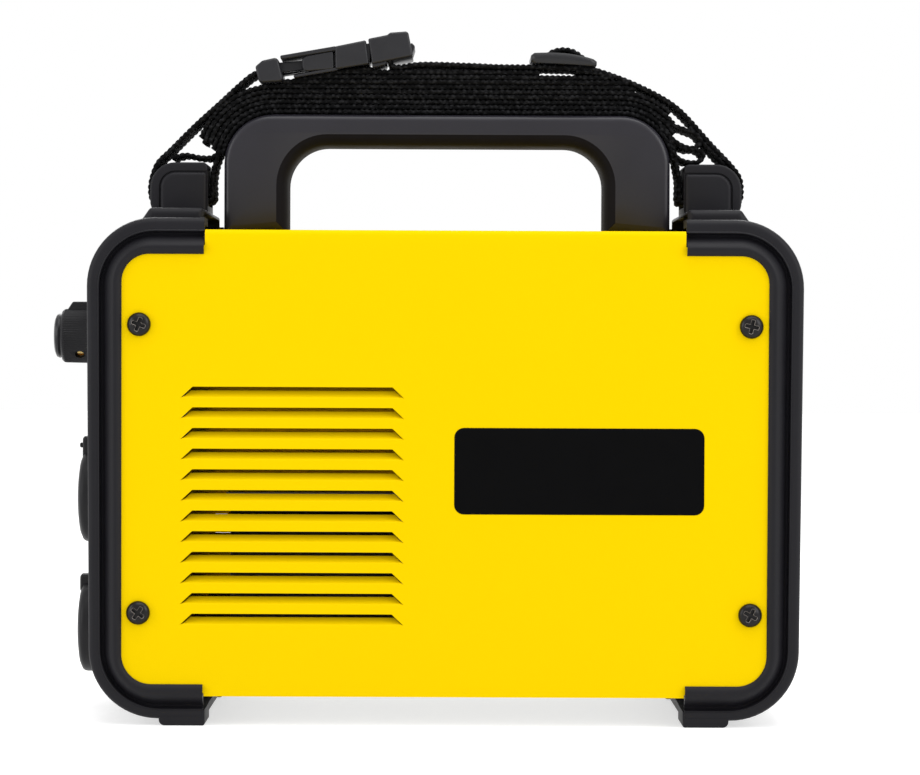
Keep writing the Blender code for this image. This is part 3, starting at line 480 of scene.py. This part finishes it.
def arch(s):
    """Arched opening through the frame's top wall, under the inner end of the hump."""
    low, high = sorted((s * 96.0, s * 108.0))
    opening = [(-47.0, 203.0, 0), (47.0, 203.0, 0), (47.0, 214.2, 4.0), (-47.0, 214.2, 4.0)]
    return stack(opening, [(0, low), (0, high)], 6, "X")


def lug(s):
    """Strap lug: a rim over its top and back, a sunk line, a raised cheek, and the slot at its root."""
    corners = [(s * 102.9, 214.0, 0.4), (s * 102.9, 236.9, 2.2), (s * 127.7, 236.9, 10.8),
               (s * 127.7, 219.0, 3.0), (s * 126.2, 214.0, 0.4)]
    cheek = [(s * 103.4, 215.0, 0.4), (s * 103.4, 232.6, 1.2), (s * 123.2, 232.6, 6.4),
             (s * 123.2, 215.0, 0.4)]
    sunk = [(s * 102.0, 214.4, 0), (s * 102.0, 233.3, 0), (s * 123.9, 233.3, 7.1), (s * 123.9, 214.4, 0)]
    pockets = [stack(sunk, [(0, side * 15.1), (0, side * 20.0)], 8) for side in (-1, 1)]
    low, high = sorted((s * 99.0, s * 131.0))
    slot = block(low, -13.4, 218.3, high, 13.4, 222.6)
    body = carve(pillow(corners, 16.3, 1.0, 8), *pockets, slot)
    cheeks = []
    for side in (-1, 1):
        steps = [(0.0, 14.9), (0.0, 16.1), (0.25, 16.7), (0.8, 17.1), (1.6, 17.25)]
        cheeks.append(stack(cheek, [(a, side * y) for a, y in steps], 8))
    return merged(body, *cheeks)


for end, s in ENDS.items():
    # Stops behind the cover's cut ends, which close the grooves' inner ends.
    stops = [block(s * 96.0, side * 60.0, 198.0, s * 100.5, side * 66.7, 204.7) for side in (-1, 1)]
    shell = merged(carve(frame_shell(s), arch(s)), hump(s), lug(s), foot(s, -1), foot(s, 1), *stops)
    piece(f"{end}_frame_moulding", shell, "frame_plastic", stands_for=[f"{end}_frame"], angle=38)


# --- cover ----------------------------------------------------------------------------------------
def cover_corners():
    """Side view of the cover: its middle, and a tongue at either end that the frame grips."""
    def arm(s):
        high_half, low_half, low, high, low_radius, high_radius = TUCK
        gap = 0.3
        return [(s * COVER_END, COVER_BOTTOM, 0), (s * COVER_END, low + gap, 0),
                (s * (low_half - gap), low + gap, low_radius),
                (s * (high_half - gap), high - gap, high_radius), (s * COVER_END, high - gap, 0),
                (s * COVER_END, COVER_TOP, 0)]
    return [*arm(-1)[::-1], *arm(1)]


def louvre_holes():
    holes = []
    for i in range(LOUVRES):
        top = LOUVRE_TOP - i * LOUVRE_PITCH
        low = top - LOUVRE_HEIGHT
        corners = [(LOUVRE_LEFT + LOUVRE_TAPER[0], top, 0.2), (LOUVRE_RIGHT - LOUVRE_TAPER[1], top, 0.2),
                   (LOUVRE_RIGHT, low, 0), (LOUVRE_LEFT, low, 0)]
        holes.append(stack(corners, [(0, -80), (0, 80)], 2))
    return merged(*holes)


def flap_face(bm, side, foot_z, bend, gap, thick):
    """Rows of vertices over one face of a flap, and the faces between them."""
    across = 12
    rows = []
    for rise, depth in bend:
        slant = min(rise, 3.1) / LOUVRE_HEIGHT
        left = LOUVRE_LEFT + LOUVRE_TAPER[0] * slant + gap * min(rise, 1.0)
        right = LOUVRE_RIGHT - LOUVRE_TAPER[1] * slant - 0.7 * gap * min(rise, 1.0)
        y = side * (COVER_SIDE - depth - thick)
        z = foot_z + rise - thick * 0.6 * (depth > 0)
        rows.append([bm.verts.new((left + (right - left) * k / across, y, z)) for k in range(across + 1)])
    for a, b in zip(rows, rows[1:]):
        for k in range(across):
            bm.faces.new((a[k], a[k + 1], b[k + 1], b[k]))
    return rows


def border(rows):
    """Loop round the edge of a grid of vertices."""
    return rows[0] + [row[-1] for row in rows[1:]] + rows[-1][-2::-1] + [row[0] for row in rows[-2:0:-1]]


def louvre_flaps(side):
    """Tongues of sheet, still joined at their lower edge and pressed in at their upper one.

    The near ones leave a slit at either end, and the far ones, which the camera sees through the
    near slits, reach past the opening and close it.
    """
    bm = bmesh.new()
    bend = [(0.0, 0.0), (0.35, 0.25), (0.7, 0.75), (1.1, 1.3), (1.8, 2.15), (2.5, 2.9), (3.1, 3.5)]
    gap = 0.9
    if side > 0:
        bend += [(3.9, 4.6), (4.9, 5.8)]
        gap = -0.9
    for i in range(LOUVRES):
        foot_z = LOUVRE_TOP - LOUVRE_HEIGHT - i * LOUVRE_PITCH
        outer = border(flap_face(bm, side, foot_z, bend, gap, 0.0))
        inner = border(flap_face(bm, side, foot_z, bend, gap, 1.0))
        for k in range(len(outer)):
            m = (k + 1) % len(outer)
            bm.faces.new((outer[k], outer[m], inner[m], inner[k]))
    return bm


def on_fold(edge):
    """Whether an edge runs lengthwise along the cover's top, where the sheet is folded down."""
    first, last = edge.verts
    at_top = all(vert.co.z > COVER_TOP - 0.01 for vert in edge.verts)
    return at_top and abs(first.co.y - last.co.y) < 0.01


sheet = stack(cover_corners(), [(0, -COVER_SIDE), (0, COVER_SIDE)], 14)
folds = [edge for edge in sheet.edges if on_fold(edge)]
bmesh.ops.bevel(sheet, geom=folds, offset=2.2, segments=4, profile=0.5, affect="EDGES")
inside = block(-150, SHEET - COVER_SIDE, 0, 150, COVER_SIDE - SHEET, COVER_TOP - SHEET)
piece("cover_sheet", carve(sheet, inside, louvre_holes()), "cover_coat", stands_for=["cover"])
for hand, side in HANDS.items():
    piece(f"louvre_flaps_{hand}", louvre_flaps(side), "cover_coat")
    blank = [(DECAL_LEFT, DECAL_LOW, 4.0), (DECAL_RIGHT, DECAL_LOW, 4.0), (DECAL_RIGHT, DECAL_HIGH, 4.0),
             (DECAL_LEFT, DECAL_HIGH, 4.0)]
    low, high = sorted((side * COVER_SIDE, side * (COVER_SIDE + 0.12)))
    piece(f"blank_decal_{hand}", stack(blank, [(0, low), (0, high)], 6), "cover_coat",
          material="decal_film")


# --- carry handle ---------------------------------------------------------------------------------
def handle():
    """Arch with a rounded outer edge; its faces in the hand opening take the second material, a darker copy
    of the handle's plastic that paints shade into the opening.
    """
    left, right = HANDLE_X
    low = COVER_TOP + 0.3
    corners = [(left, low, 0.5), (left, HANDLE_TOP, HANDLE_CORNER), (right, HANDLE_TOP, HANDLE_CORNER),
               (right, low, 0.5), (OPENING_HALF, low, 0.5), (OPENING_HALF, OPENING_TOP, OPENING_CORNER),
               (-OPENING_HALF, OPENING_TOP, OPENING_CORNER), (-OPENING_HALF, low, 0.5)]
    # Y, how far the outer edge has rounded off there, and the bevel round the hand opening.
    section = [(0.0, 0.0, 0.0), (8.0, 0.0, 0.2), (12.0, 0.05, 0.8), (14.4, 0.3, 1.9), (15.8, 0.9, 3.2),
               (16.4, 1.5, 4.1), (16.5, 1.7, 4.4), (16.8, 2.3, 4.7), (17.0, 3.2, 5.1)]
    mirrored = [(-y, a, b) for y, a, b in reversed(section[1:])]
    bm = bmesh.new()
    rings = []
    for y, outer, inner in mirrored + section:
        outside = rounded(shrunk(corners, outer), 16)
        opening = rounded(shrunk(corners, inner), 16)
        half = len(outside) // 2
        rings.append([bm.verts.new((p.x, y, p.y)) for p in outside[:half] + opening[half:]])
    count = len(rings[0])
    # Faces round the hand opening get material 1, the painted shade.
    for i, wall in enumerate(bridge(bm, rings)):
        wall.material_index = int(half <= i % count < count - 1)
    return bm


grip = piece("handle_moulding", handle(), "handle_plastic", stands_for=["carry_handle"], angle=40)
# Second material: the painted shade in the hand opening.
grip.data.materials.append(M["handle_opening_shade"])


# --- screws ---------------------------------------------------------------------------------------
def pan_head(side, x, z, turn):
    """Domed head with a cross recess, which is turned by turn degrees; the bevelled edges of its recess carry
    a painted glint.
    """
    face = side * (COVER_SIDE + 0.15)
    rise = [(0.0, 4.9), (0.5, 4.95), (1.1, 4.75), (1.8, 4.15), (2.4, 3.1), (2.8, 1.8), (2.95, 0.0)]
    profile = [(face - side * 6.0, 0), (face - side * 6.0, 1.9), (face, 1.9)]
    profile += [(face + side * up, r) for up, r in rise]
    head = turned(profile, "Y", (x, z), 40)
    tools = []
    for k in range(2):
        angle = math.radians(turn + 90 * k)
        arm = [(-2.9, -0.75, 0.4), (2.9, -0.75, 0.4), (2.9, 0.75, 0.4), (-2.9, 0.75, 0.4)]
        low, high = sorted((face + side * 0.5, face + side * 4.0))
        bar = stack(arm, [(0, low), (0, high)], 2)
        spin = Matrix.Translation((x, 0, z)) @ Matrix.Rotation(angle, 4, "Y")
        bmesh.ops.transform(bar, matrix=spin, verts=bar.verts)
        tools.append(bar)
    head = carve(head, *tools)

    def by_recess(vert):
        away_squared = (vert.co.x - x) ** 2 + (vert.co.z - z) ** 2
        return away_squared < 10.0 and side * (vert.co.y - face) > 1.2

    # The sharp edges of the recess are bevelled, and the bevels take a lighter material as a painted glint.
    rim = [edge for edge in head.edges
           if edge.is_manifold and edge.calc_face_angle() > 0.7 and all(map(by_recess, edge.verts))]
    glint_bevel = bmesh.ops.bevel(head, geom=rim, offset=0.17, segments=1, affect="EDGES")
    for new_face in glint_bevel["faces"]:
        new_face.material_index = 1
    return head


TURNS = {("front", "upper"): 20, ("front", "lower"): 35, ("rear", "upper"): 12, ("rear", "lower"): 28}
for end, s in ENDS.items():
    for level, z in SCREW_Z.items():
        for hand, side in HANDS.items():
            name = f"cover_screw_{end}_{level}_{hand}"
            head = pan_head(side, s * SCREW_X, z, TURNS[end, level])
            head = piece(f"{name}_head", head, "black_screw", stands_for=[name])
            # Second material: the painted glint on the recess edges.
            head.data.materials.append(M["screw_recess_glint"])


# --- control end ----------------------------------------------------------------------------------
KNOB_BACK = -149.6
knob_profile = [(KNOB_BACK, 0), (KNOB_BACK, 11.2), (KNOB_BACK - 0.4, 11.9), (KNOB_BACK - 1.4, 12.0),
                (KNOB_BACK - 1.8, 12.0), (-165.4, 11.7), (-166.2, 11.55), (-167.0, 10.9), (-167.3, 10.0),
                (-167.0, 9.2), (-165.6, 9.1), (-165.6, 0)]
knob = turned(knob_profile, "X", (0, KNOB_Z), 288, ribs=72, rib_depth=0.45, ribbed=(4, 5))
fin = [(KNOB_BACK - 0.2, KNOB_Z + 9.0, 0), (KNOB_BACK - 0.2, KNOB_Z + 14.9, 0.8),
       (-162.6, KNOB_Z + 14.9, 1.2), (-164.8, KNOB_Z + 11.6, 0.8), (-164.8, KNOB_Z + 9.0, 0)]
screw_hole = turned([(7.5, 0), (7.5, 2.1), (14.0, 2.1), (14.0, 0)], "Z", (0, 0), 24)
aim = Matrix.Translation((-158.8, 0, KNOB_Z)) @ Matrix.Rotation(math.radians(136.0), 4, "X")
bmesh.ops.transform(screw_hole, matrix=aim, verts=screw_hole.verts)
piece("knurled_knob", merged(carve(knob, screw_hole), pillow(fin, 2.6, 0.7, 4)), "knob_plastic", "knob",
      stands_for=["current_knob"], angle=50)
cap_profile = [(-165.7, 0), (-165.7, 9.0), (-168.4, 9.7), (-169.5, 9.2), (-170.2, 7.6), (-170.5, 4.5),
               (-170.5, 0)]
piece("knob_cap_disc", turned(cap_profile, "X", (0, KNOB_Z), 48), "cap_plastic", "knob",
      stands_for=["knob_cap"])


def socket(z, pipped):
    """Shroud with a bore and a locking tab on top, which is taller and has a pip if pipped."""
    profile = [(-128.0, 9.6), (-128.0, 14.2), (PANEL_FACE, 14.2), (PANEL_FACE, 19.7), (-155.6, 19.7),
               (-156.6, 19.5), (-157.4, 18.9), (-158.4, 16.6), (-158.9, 13.4), (-159.2, 10.6),
               (-158.8, 9.7), (-157.8, 9.6)]
    outside = turned(profile, "X", (0, z), 72)
    bore = turned([profile[-1], profile[0]], "X", (0, z), 72)
    whole = merged(outside, bore)
    bmesh.ops.remove_doubles(whole, verts=whole.verts, dist=0.001)
    low, high, front = (16.0, 26.4, -157.9) if pipped else (15.0, 23.0, -158.9)
    corners = [(-5, z + low, 2.0), (5, z + low, 2.0), (5, z + high, 2.5), (-5, z + high, 2.5)]
    tab = stack(corners, [(0.8, front), (0.0, front + 0.7), (0.0, PANEL_FACE)], 4, "X")
    if not pipped:
        return merged(whole, tab)
    pip = turned([(-159.5, 0), (-159.5, 0.7), (-159.2, 1.1), (-155.0, 1.1), (-155.0, 0)], "X",
                 (0, z + 22.4), 16)
    return merged(whole, tab, pip)


for sign, z in SOCKET_Z.items():
    piece(f"socket_{sign}_shroud", socket(z, sign == "plus"), "fascia_plastic",
          stands_for=[f"socket_{sign}_body"], angle=30)
    half, arm = 1.2, 4.0
    lower_arm = [(-half, -half), (-half, -arm), (half, -arm), (half, -half)]
    upper_arm = [(half, half), (half, arm), (-half, arm), (-half, half)]
    if sign == "minus":
        lower_arm, upper_arm = [], []
    outline = [(-arm, -half), *lower_arm, (arm, -half), (arm, half), *upper_arm, (-arm, half)]
    corners = [(SIGN_Y + y, z + up, 0) for y, up in outline]
    sign_plate = stack(corners, [(0, PANEL_FACE - 0.6), (0, PANEL_FACE + 0.3)], 1, "X")
    piece(f"polarity_sign_{sign}", sign_plate, "fascia_plastic", material="dial_ink")


def dial_marks():
    """Ten strokes over the knob's 270 degrees; every third one is longer."""
    marks = []
    for k in range(10):
        angle = math.radians(-135 + 30 * k)
        bar = block(-149.25, -0.45, 16.5, -149.0, 0.45, 19.0 if k % 3 else 20.0)
        spin = Matrix.Translation((0, 0, KNOB_Z)) @ Matrix.Rotation(angle, 4, "X")
        bmesh.ops.transform(bar, matrix=spin, verts=bar.verts)
        marks.append(bar)
    return merged(*marks)


piece("dial_marks", dial_marks(), "dial_print", material="dial_ink")


# --- carried-over nodes ---------------------------------------------------------------------------
for name, obj in NODES.items():
    if obj.hide_render:
        continue
    obj.data.materials.clear()
    obj.data.materials.append(M[SLOT_OF[name]])
for name in ("front_panel", "rear_panel", "power_switch_body", "power_rocker", "cable_gland", "gland_nut",
             "knob_set_screw", "socket_plus_contact", "socket_minus_contact", "dial_plate"):
    soft = NODES[name].modifiers.new("soft edges", "BEVEL")
    soft.width = 0.0004
    soft.segments = 2
    soft.limit_method = "ANGLE"


# --- shoulder strap -------------------------------------------------------------------------------
RIB_STEP = 0.6       # distance between the webbing's cross-sections
KNOT = 2.35          # length of one knot
SCALLOP = 0.7        # how far its edges draw in between two knots


def smooth_path(points):
    """Samples RIB_STEP apart on a Catmull-Rom curve through the points."""
    pts = [Vector(p) for p in points]
    pts = [2 * pts[0] - pts[1], *pts, 2 * pts[-1] - pts[-2]]
    fine = []
    per_stretch = 24
    for a, b, c, d in zip(pts, pts[1:], pts[2:], pts[3:]):
        for k in range(per_stretch):
            t = k / per_stretch
            fine.append(0.5 * ((2 * b) + (c - a) * t + (2 * a - 5 * b + 4 * c - d) * t * t
                               + (3 * b - a - 3 * c + d) * t ** 3))
    fine.append(pts[-2])
    result, travelled = [fine[0]], 0.0
    for a, b in zip(fine, fine[1:]):
        length = (b - a).length
        while travelled + length >= RIB_STEP:
            share = (RIB_STEP - travelled) / length
            a = a.lerp(b, share)
            result.append(a)
            length = (b - a).length
            travelled = 0.0
        travelled += length
    return result


def webbing(points, half=WEB_HALF, thick=2.1, lean=0.0):
    """Knitted ribbon along a path in X and Z, and its length; lean shifts its knots along it.

    Its edges are scalloped, and its thickness swells at each knot.
    """
    path = smooth_path(points)
    bm = bmesh.new()
    rings = []
    for i, point in enumerate(path):
        along = (path[min(i + 1, len(path) - 1)] - path[max(i - 1, 0)]).normalized()
        out = Vector((-along.y, along.x))
        phase = math.pi * i * RIB_STEP / KNOT
        swell = abs(math.sin(phase + lean))
        other = abs(math.cos(phase + lean))
        up = thick * (0.31 + 0.23 * swell)
        down = thick * (0.31 + 0.23 * other)
        edge = half - SCALLOP + SCALLOP * swell
        far = half - SCALLOP + SCALLOP * other
        section = [(-edge, 0.0), (-edge + 0.35, up * 0.75), (-edge + 1.1, up), (-4, up * 0.96),
                   (4, up * 0.96), (far - 1.1, up), (far - 0.35, up * 0.75), (far, 0.0),
                   (far - 0.35, -down * 0.75), (far - 1.1, -down), (4, -down * 0.96), (-4, -down * 0.96),
                   (-edge + 1.1, -down), (-edge + 0.35, -down * 0.75)]
        rings.append([bm.verts.new((point.x + out.x * h, y, point.y + out.y * h)) for y, h in section])
    bridge(bm, rings)
    return bm, (len(path) - 1) * RIB_STEP


def over_handle(height, left_angle, right_angle, left_x=None, right_x=None):
    """Path at a height above the handle's top, as far round its two corners as the angles say."""
    left, right = HANDLE_X
    middles = (left + HANDLE_CORNER, right - HANDLE_CORNER)
    radius = HANDLE_CORNER + height
    z = HANDLE_TOP - HANDLE_CORNER
    points = []
    turn_steps, top_steps = 6, 8
    if left_x is None:
        for k in range(turn_steps, 0, -1):
            a = math.radians(left_angle) * k / turn_steps
            points.append((middles[0] - radius * math.sin(a), z + radius * math.cos(a)))
        left_x = middles[0]
    end_x = middles[1] if right_x is None else right_x
    points += [(left_x + (end_x - left_x) * k / top_steps, z + radius) for k in range(top_steps + 1)]
    if right_x is None:
        for k in range(1, turn_steps + 1):
            a = math.radians(right_angle) * k / turn_steps
            points.append((middles[1] + radius * math.sin(a), z + radius * math.cos(a)))
    return points


LAYERS = [  # height, angles round the left and right corners, or else the X of both ends
    (1.3, 79, 84, None, None), (3.5, 78, 72, None, None), (5.7, 76, 60, None, None),
    (7.9, 72, 52, None, None), (10.1, 74, 44, None, None), (12.3, 70, 12, None, None),
    (14.4, None, None, -70.5, 79.0), (16.5, None, None, -58.5, 70.0), (18.7, None, None, -46.0, 40.8)]
layers, strap_length = [], 0.0
for i, (height, *ends) in enumerate(LAYERS):
    bm, length = webbing(over_handle(height, *ends), WEB_HALF - 0.25 * (i % 3), lean=0.9 * i)
    layers.append(bm)
    strap_length += length
# Folds at the bundle's ends: two hang behind the handle's rear corner, two peep out under the
# slider, and one lies under the buckle.
LOOPS = [
    [(91.0, 258.0), (97.4, 254.6), (103.5, 252.3), (108.4, 250.3), (110.5, 247.6), (108.7, 244.7),
     (104.5, 244.6), (100.2, 246.6), (96.5, 249.6), (92.6, 253.0)],
    [(95.6, 251.0), (99.2, 247.0), (103.5, 244.0), (108.4, 243.8), (111.6, 241.2), (109.8, 238.5),
     (105.0, 238.2), (100.8, 239.8), (98.4, 243.0), (96.6, 247.4)],
    [(56.2, 277.2), (62.0, 277.0), (68.0, 276.0), (73.0, 273.9)],
    [(57.0, 279.2), (62.5, 278.4), (66.0, 277.4)],
    [(-69.3, 272.0), (-66.0, 272.7), (-56.0, 274.6), (-47.0, 276.4), (-40.0, 277.5), (-34.5, 278.0),
     (-31.5, 277.8)],
]
for points in LOOPS:
    bm, length = webbing(points, thick=1.9)
    layers.append(bm)
    strap_length += length
bundle = piece("strap_bundle_layers", merged(*layers), "webbing", stands_for=["strap_bundle"], angle=60)

# Front run: from the plug down over the lug's outer side, through its slot, and up its inner side
# to the bundle. It rides on no body, and its place is baked into its mesh.
FRONT_RUN = [(-81.2, 276.4), (-83.6, 275.4), (-86.2, 273.6), (-91.6, 268.9), (-98.0, 262.9), (-106.6, 255.1),
             (-111.9, 250.0), (-119.6, 242.2), (-124.8, 237.0), (-127.3, 231.0), (-128.1, 226.0),
             (-127.6, 221.6), (-125.4, 220.4), (-115.0, 220.4), (-103.2, 220.4), (-101.2, 222.2),
             (-101.2, 229.0), (-100.2, 236.0), (-97.6, 243.0)]
bm, length = webbing(FRONT_RUN, lean=0.4)
front_run = piece("strap_front_webbing", bm, "webbing", body=None, stands_for=["strap_front_run"], angle=60)
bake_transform(front_run)

# Short fold on top of the front lug.
bm, length = webbing([(-119.0, 239.0), (-113.0, 240.4), (-107.0, 239.4), (-101.5, 239.4), (-98.2, 242.0)],
                     thick=1.9, lean=1.3)
keeper = piece("strap_front_return", bm, "webbing", angle=60)

# Rear run: from the buckle's socket along the bundle, under the slider, down to the rear lug,
# through its slot and up to the bundle; a second ribbon lies under it near the lug.
REAR_RUN = [(-24.6, 281.4), (-23.6, 279.4), (-20.0, 278.8), (-14.0, 279.8), (-6.0, 280.1), (12.0, 279.6),
            (22.0, 279.15), (34.0, 279.1), (46.0, 278.9), (56.0, 278.7), (63.0, 278.2), (69.0, 276.5),
            (78.4, 273.1), (88.8, 268.4), (97.8, 263.2), (104.4, 257.4), (114.4, 246.3),
            (123.4, 236.9), (127.2, 231.6), (128.1, 226.4), (127.6, 221.6), (125.4, 220.4), (115.0, 220.4),
            (103.2, 220.4), (101.2, 222.2), (101.2, 230.0), (99.8, 238.0), (98.4, 246.0)]
rear, length = webbing(REAR_RUN, lean=0.7)
twin, rest = webbing([(105.6, 253.6), (111.2, 247.0), (117.4, 240.6), (123.2, 233.6), (125.9, 228.4)],
                     half=WEB_HALF - 0.5, thick=1.9, lean=1.1)
rear_run = piece("strap_rear_webbing", merged(rear, twin), "webbing", stands_for=["strap_rear_run"], angle=60)

# The webbing that rises over the slider's middle bar moves with the slider.
bm, length = webbing([(39.4, 280.7), (41.2, 282.0), (43.4, 284.0), (46.6, 285.9), (50.8, 286.6),
                      (55.0, 285.8), (58.4, 283.6), (60.4, 281.6), (61.8, 280.4)], lean=0.3)
slider_loop = piece("strap_slider_loop", bm, "webbing", "slider", angle=60)


# --- buckle and slider ----------------------------------------------------------------------------
# Plug: a body with two shoulders, each with the prong that joins it and the tip that latches in the
# socket, and a guide between them.
plug_outline = [(-82.6, 278.4, 1.4), (-79.6, 281.0, 2.5), (-72.9, 282.5, 1.8), (-70.2, 272.0, 1.6),
                (-81.0, 271.2, 2.2)]
plug = [pillow(plug_outline, 16.0, 1.2, 4)]
for side in (-1, 1):
    shoulder = [(-62.4, 276.2, 2.4), (-62.4, 282.8, 2.6), (-48.9, 285.5, 1.0), (-48.5, 277.4, 1.0)]
    plug.append(pillow(shoulder, 2.9, 0.9, 4, middle=side * 12.4))
    prong = [(-72.5, 276.0, 0.5), (-72.5, 280.6, 0.5), (-60.0, 281.6, 0.5), (-60.0, 277.6, 0.5)]
    plug.append(pillow(prong, 1.8, 0.5, 3, middle=side * 8.6))
    tip = [(-49.2, 279.2, 0.4), (-49.2, 284.2, 0.4), (-38.5, 285.2, 1.4), (-38.5, 281.8, 1.4)]
    plug.append(pillow(tip, 1.6, 0.5, 3, middle=side * 10.4))
guide = [(-71.5, 275.6, 0.3), (-71.5, 279.6, 0.3), (-41.5, 285.0, 1.2), (-41.5, 281.4, 1.2)]
plug.append(pillow(guide, 2.0, 0.5, 3))
piece("buckle_plug_moulding", merged(*plug), "buckle_plastic", "plug", stands_for=["buckle_plug"], angle=45)

# Socket: a hollow housing, two thin plates that reach over and under the plug, and behind it the
# block that holds the webbing.
mouth = block(-60.0, -14.6, 277.6, -36.0, 14.6, 285.0)
shell = [(-48.0, 277.2, 0.9), (-48.2, 287.2, 0.9), (-34.8, 290.0, 0.8), (-33.4, 279.6, 0.8)]
housing = carve(pillow(shell, 16.0, 1.0, 4), mouth)
top_plate = [(-71.6, 281.6, 0.4), (-71.9, 283.1, 0.6), (-48.0, 287.3, 0.3), (-47.0, 285.6, 0.3)]
low_plate = [(-66.0, 273.6, 0.5), (-66.0, 274.8, 0.4), (-47.0, 278.2, 0.3), (-47.0, 276.9, 0.3)]
block_rear = [(-33.9, 290.6, 0.8), (-25.6, 292.3, 0.6), (-24.4, 293.3, 0.8), (-16.6, 293.9, 1.4),
              (-14.4, 283.2, 0.8), (-32.2, 279.6, 0.6)]
catch = [(-15.4, 289.6, 0.5), (-13.6, 287.8, 0.8), (-14.6, 284.6, 0.6), (-16.4, 284.8, 0.4)]
tail = [(-32.0, 278.0, 0.5), (-32.2, 280.0, 0.4), (-25.6, 281.2, 0.4), (-26.4, 279.4, 0.5)]
neck = [(-35.4, 281.0, 0.3), (-35.4, 288.4, 0.3), (-33.0, 288.8, 0.3), (-33.0, 281.2, 0.3)]
socket_parts = [housing, pillow(top_plate, 15.8, 0.4, 3), pillow(low_plate, 15.2, 0.4, 3),
                pillow(block_rear, 16.0, 1.1, 4), pillow(catch, 12.0, 0.5, 3), pillow(tail, 15.0, 0.6, 3),
                pillow(neck, 14.0, 0.3, 3)]
piece("buckle_socket_moulding", merged(*socket_parts), "buckle_plastic", stands_for=["buckle_socket"],
      angle=45)


def slider_plate():
    """Curved plate with two slots and a middle bar; the webbing rises over the bar."""
    start, length, count = 36.6, 28.4, 20
    bm = bmesh.new()
    rings = []
    for i in range(count + 1):
        t = i / count
        x = start + length * t
        crown = 1.0 - (2 * t - 0.96) ** 2
        top = 283.4 - 1.5 * t + 2.0 * max(crown, 0.0) + 1.2 * (1 - t) ** 4
        low = 280.6 - 1.5 * t + 0.3 * max(crown, 0.0)
        soft = 0.6 + 0.4 * min(t / 0.05, (1 - t) / 0.05, 1.0)
        mid = (top + low) / 2
        top, low = mid + (top - mid) * soft, mid + (low - mid) * soft
        half = 15.6 - 1.4 * (1 - min(t / 0.06, (1 - t) / 0.06, 1.0))
        rim = (top - low) * 0.33
        section = [(-half, low + rim), (-half, top - rim), (-half + 0.8, top), (half - 0.8, top),
                   (half, top - rim), (half, low + rim), (half - 0.7, low), (-half + 0.7, low)]
        rings.append([bm.verts.new((x, y, z)) for y, z in section])
    bridge(bm, rings)
    slots = [block(left, -12.9, 276.0, right, 12.9, 292.0) for left, right in ((40.5, 48.2), (53.4, 61.2))]
    return carve(bm, *slots)


piece("slider_moulding", slider_plate(), "buckle_plastic", "slider", stands_for=["strap_slider"], angle=45,
      material="slider_plastic")


# --- camera, floor and light ----------------------------------------------------------------------
camera_data = bpy.data.cameras.new("camera")
camera = bpy.data.objects.new("camera", camera_data)
bpy.context.scene.collection.objects.link(camera)
bpy.context.scene.camera = camera
# The camera stands 1300 mm from the plane at Y = -70, of which it sees a width of 381.8 mm. The
# case's middle is 6.225 mm left of the middle of that width.
DISTANCE, HEIGHT = 1370.0, 158.5
SEEN_FROM, SEEN_WIDTH, OFF_CENTRE = 1300.0, 381.8, 6.225
PITCH, ROLL = -0.78, 0.25
camera.location = at(0, -DISTANCE, HEIGHT)
camera.rotation_euler = (Matrix.Rotation(math.radians(90 + PITCH), 3, "X")
                         @ Matrix.Rotation(math.radians(ROLL), 3, "Z")).to_euler()
camera_data.sensor_width = 36
camera_data.lens = camera_data.sensor_width * SEEN_FROM / SEEN_WIDTH
camera_data.shift_x = OFF_CENTRE / SEEN_WIDTH

floor_mesh = bpy.data.meshes.new("floor")
floor_mesh.from_pydata([(-6, -4, 0), (6, -4, 0), (6, 6, 0), (-6, 6, 0)], [], [(0, 1, 2, 3)])
floor = bpy.data.objects.new("floor", floor_mesh)
bpy.context.scene.collection.objects.link(floor)
paper = shaded("floor_paper", (0.55, 0.55, 0.55), 0.9, spec=0.1, vary=0.01, grain=0.02)
paper_inputs = paper.node_tree.nodes["Principled BSDF"].inputs
paper_inputs["Emission Color"].default_value = (1, 1, 1, 1)
paper_inputs["Emission Strength"].default_value = 0.6
floor_mesh.materials.append(paper)


def area_light(name, place, target, size, power):
    data = bpy.data.lights.new(name, "AREA")
    data.shape = "RECTANGLE"
    data.size, data.size_y = size
    data.energy = power
    obj = bpy.data.objects.new(name, data)
    bpy.context.scene.collection.objects.link(obj)
    obj.location = place
    obj.rotation_euler = (Vector(target) - Vector(place)).to_track_quat("-Z", "Y").to_euler()


area_light("top_box", (0.15, -0.25, 1.25), (0, 0, 0.1), (1.2, 0.8), 9.0)
area_light("right_box", (1.1, -0.7, 0.75), (0, 0, 0.15), (0.5, 0.9), 7.0)
area_light("left_box", (-1.2, -0.6, 0.55), (0, 0, 0.15), (0.4, 0.9), 5.0)
area_light("back_box", (0.0, 1.2, 0.9), (0, 0, 0.15), (1.2, 0.7), 8.0)

world = bpy.data.worlds.new("studio")
bpy.context.scene.world = world
world.use_nodes = True
sky_inputs = world.node_tree.nodes["Background"].inputs
sky_inputs["Color"].default_value = (1, 1, 1, 1)
sky_inputs["Strength"].default_value = 1.0
bpy.context.scene.view_settings.view_transform = "Standard"
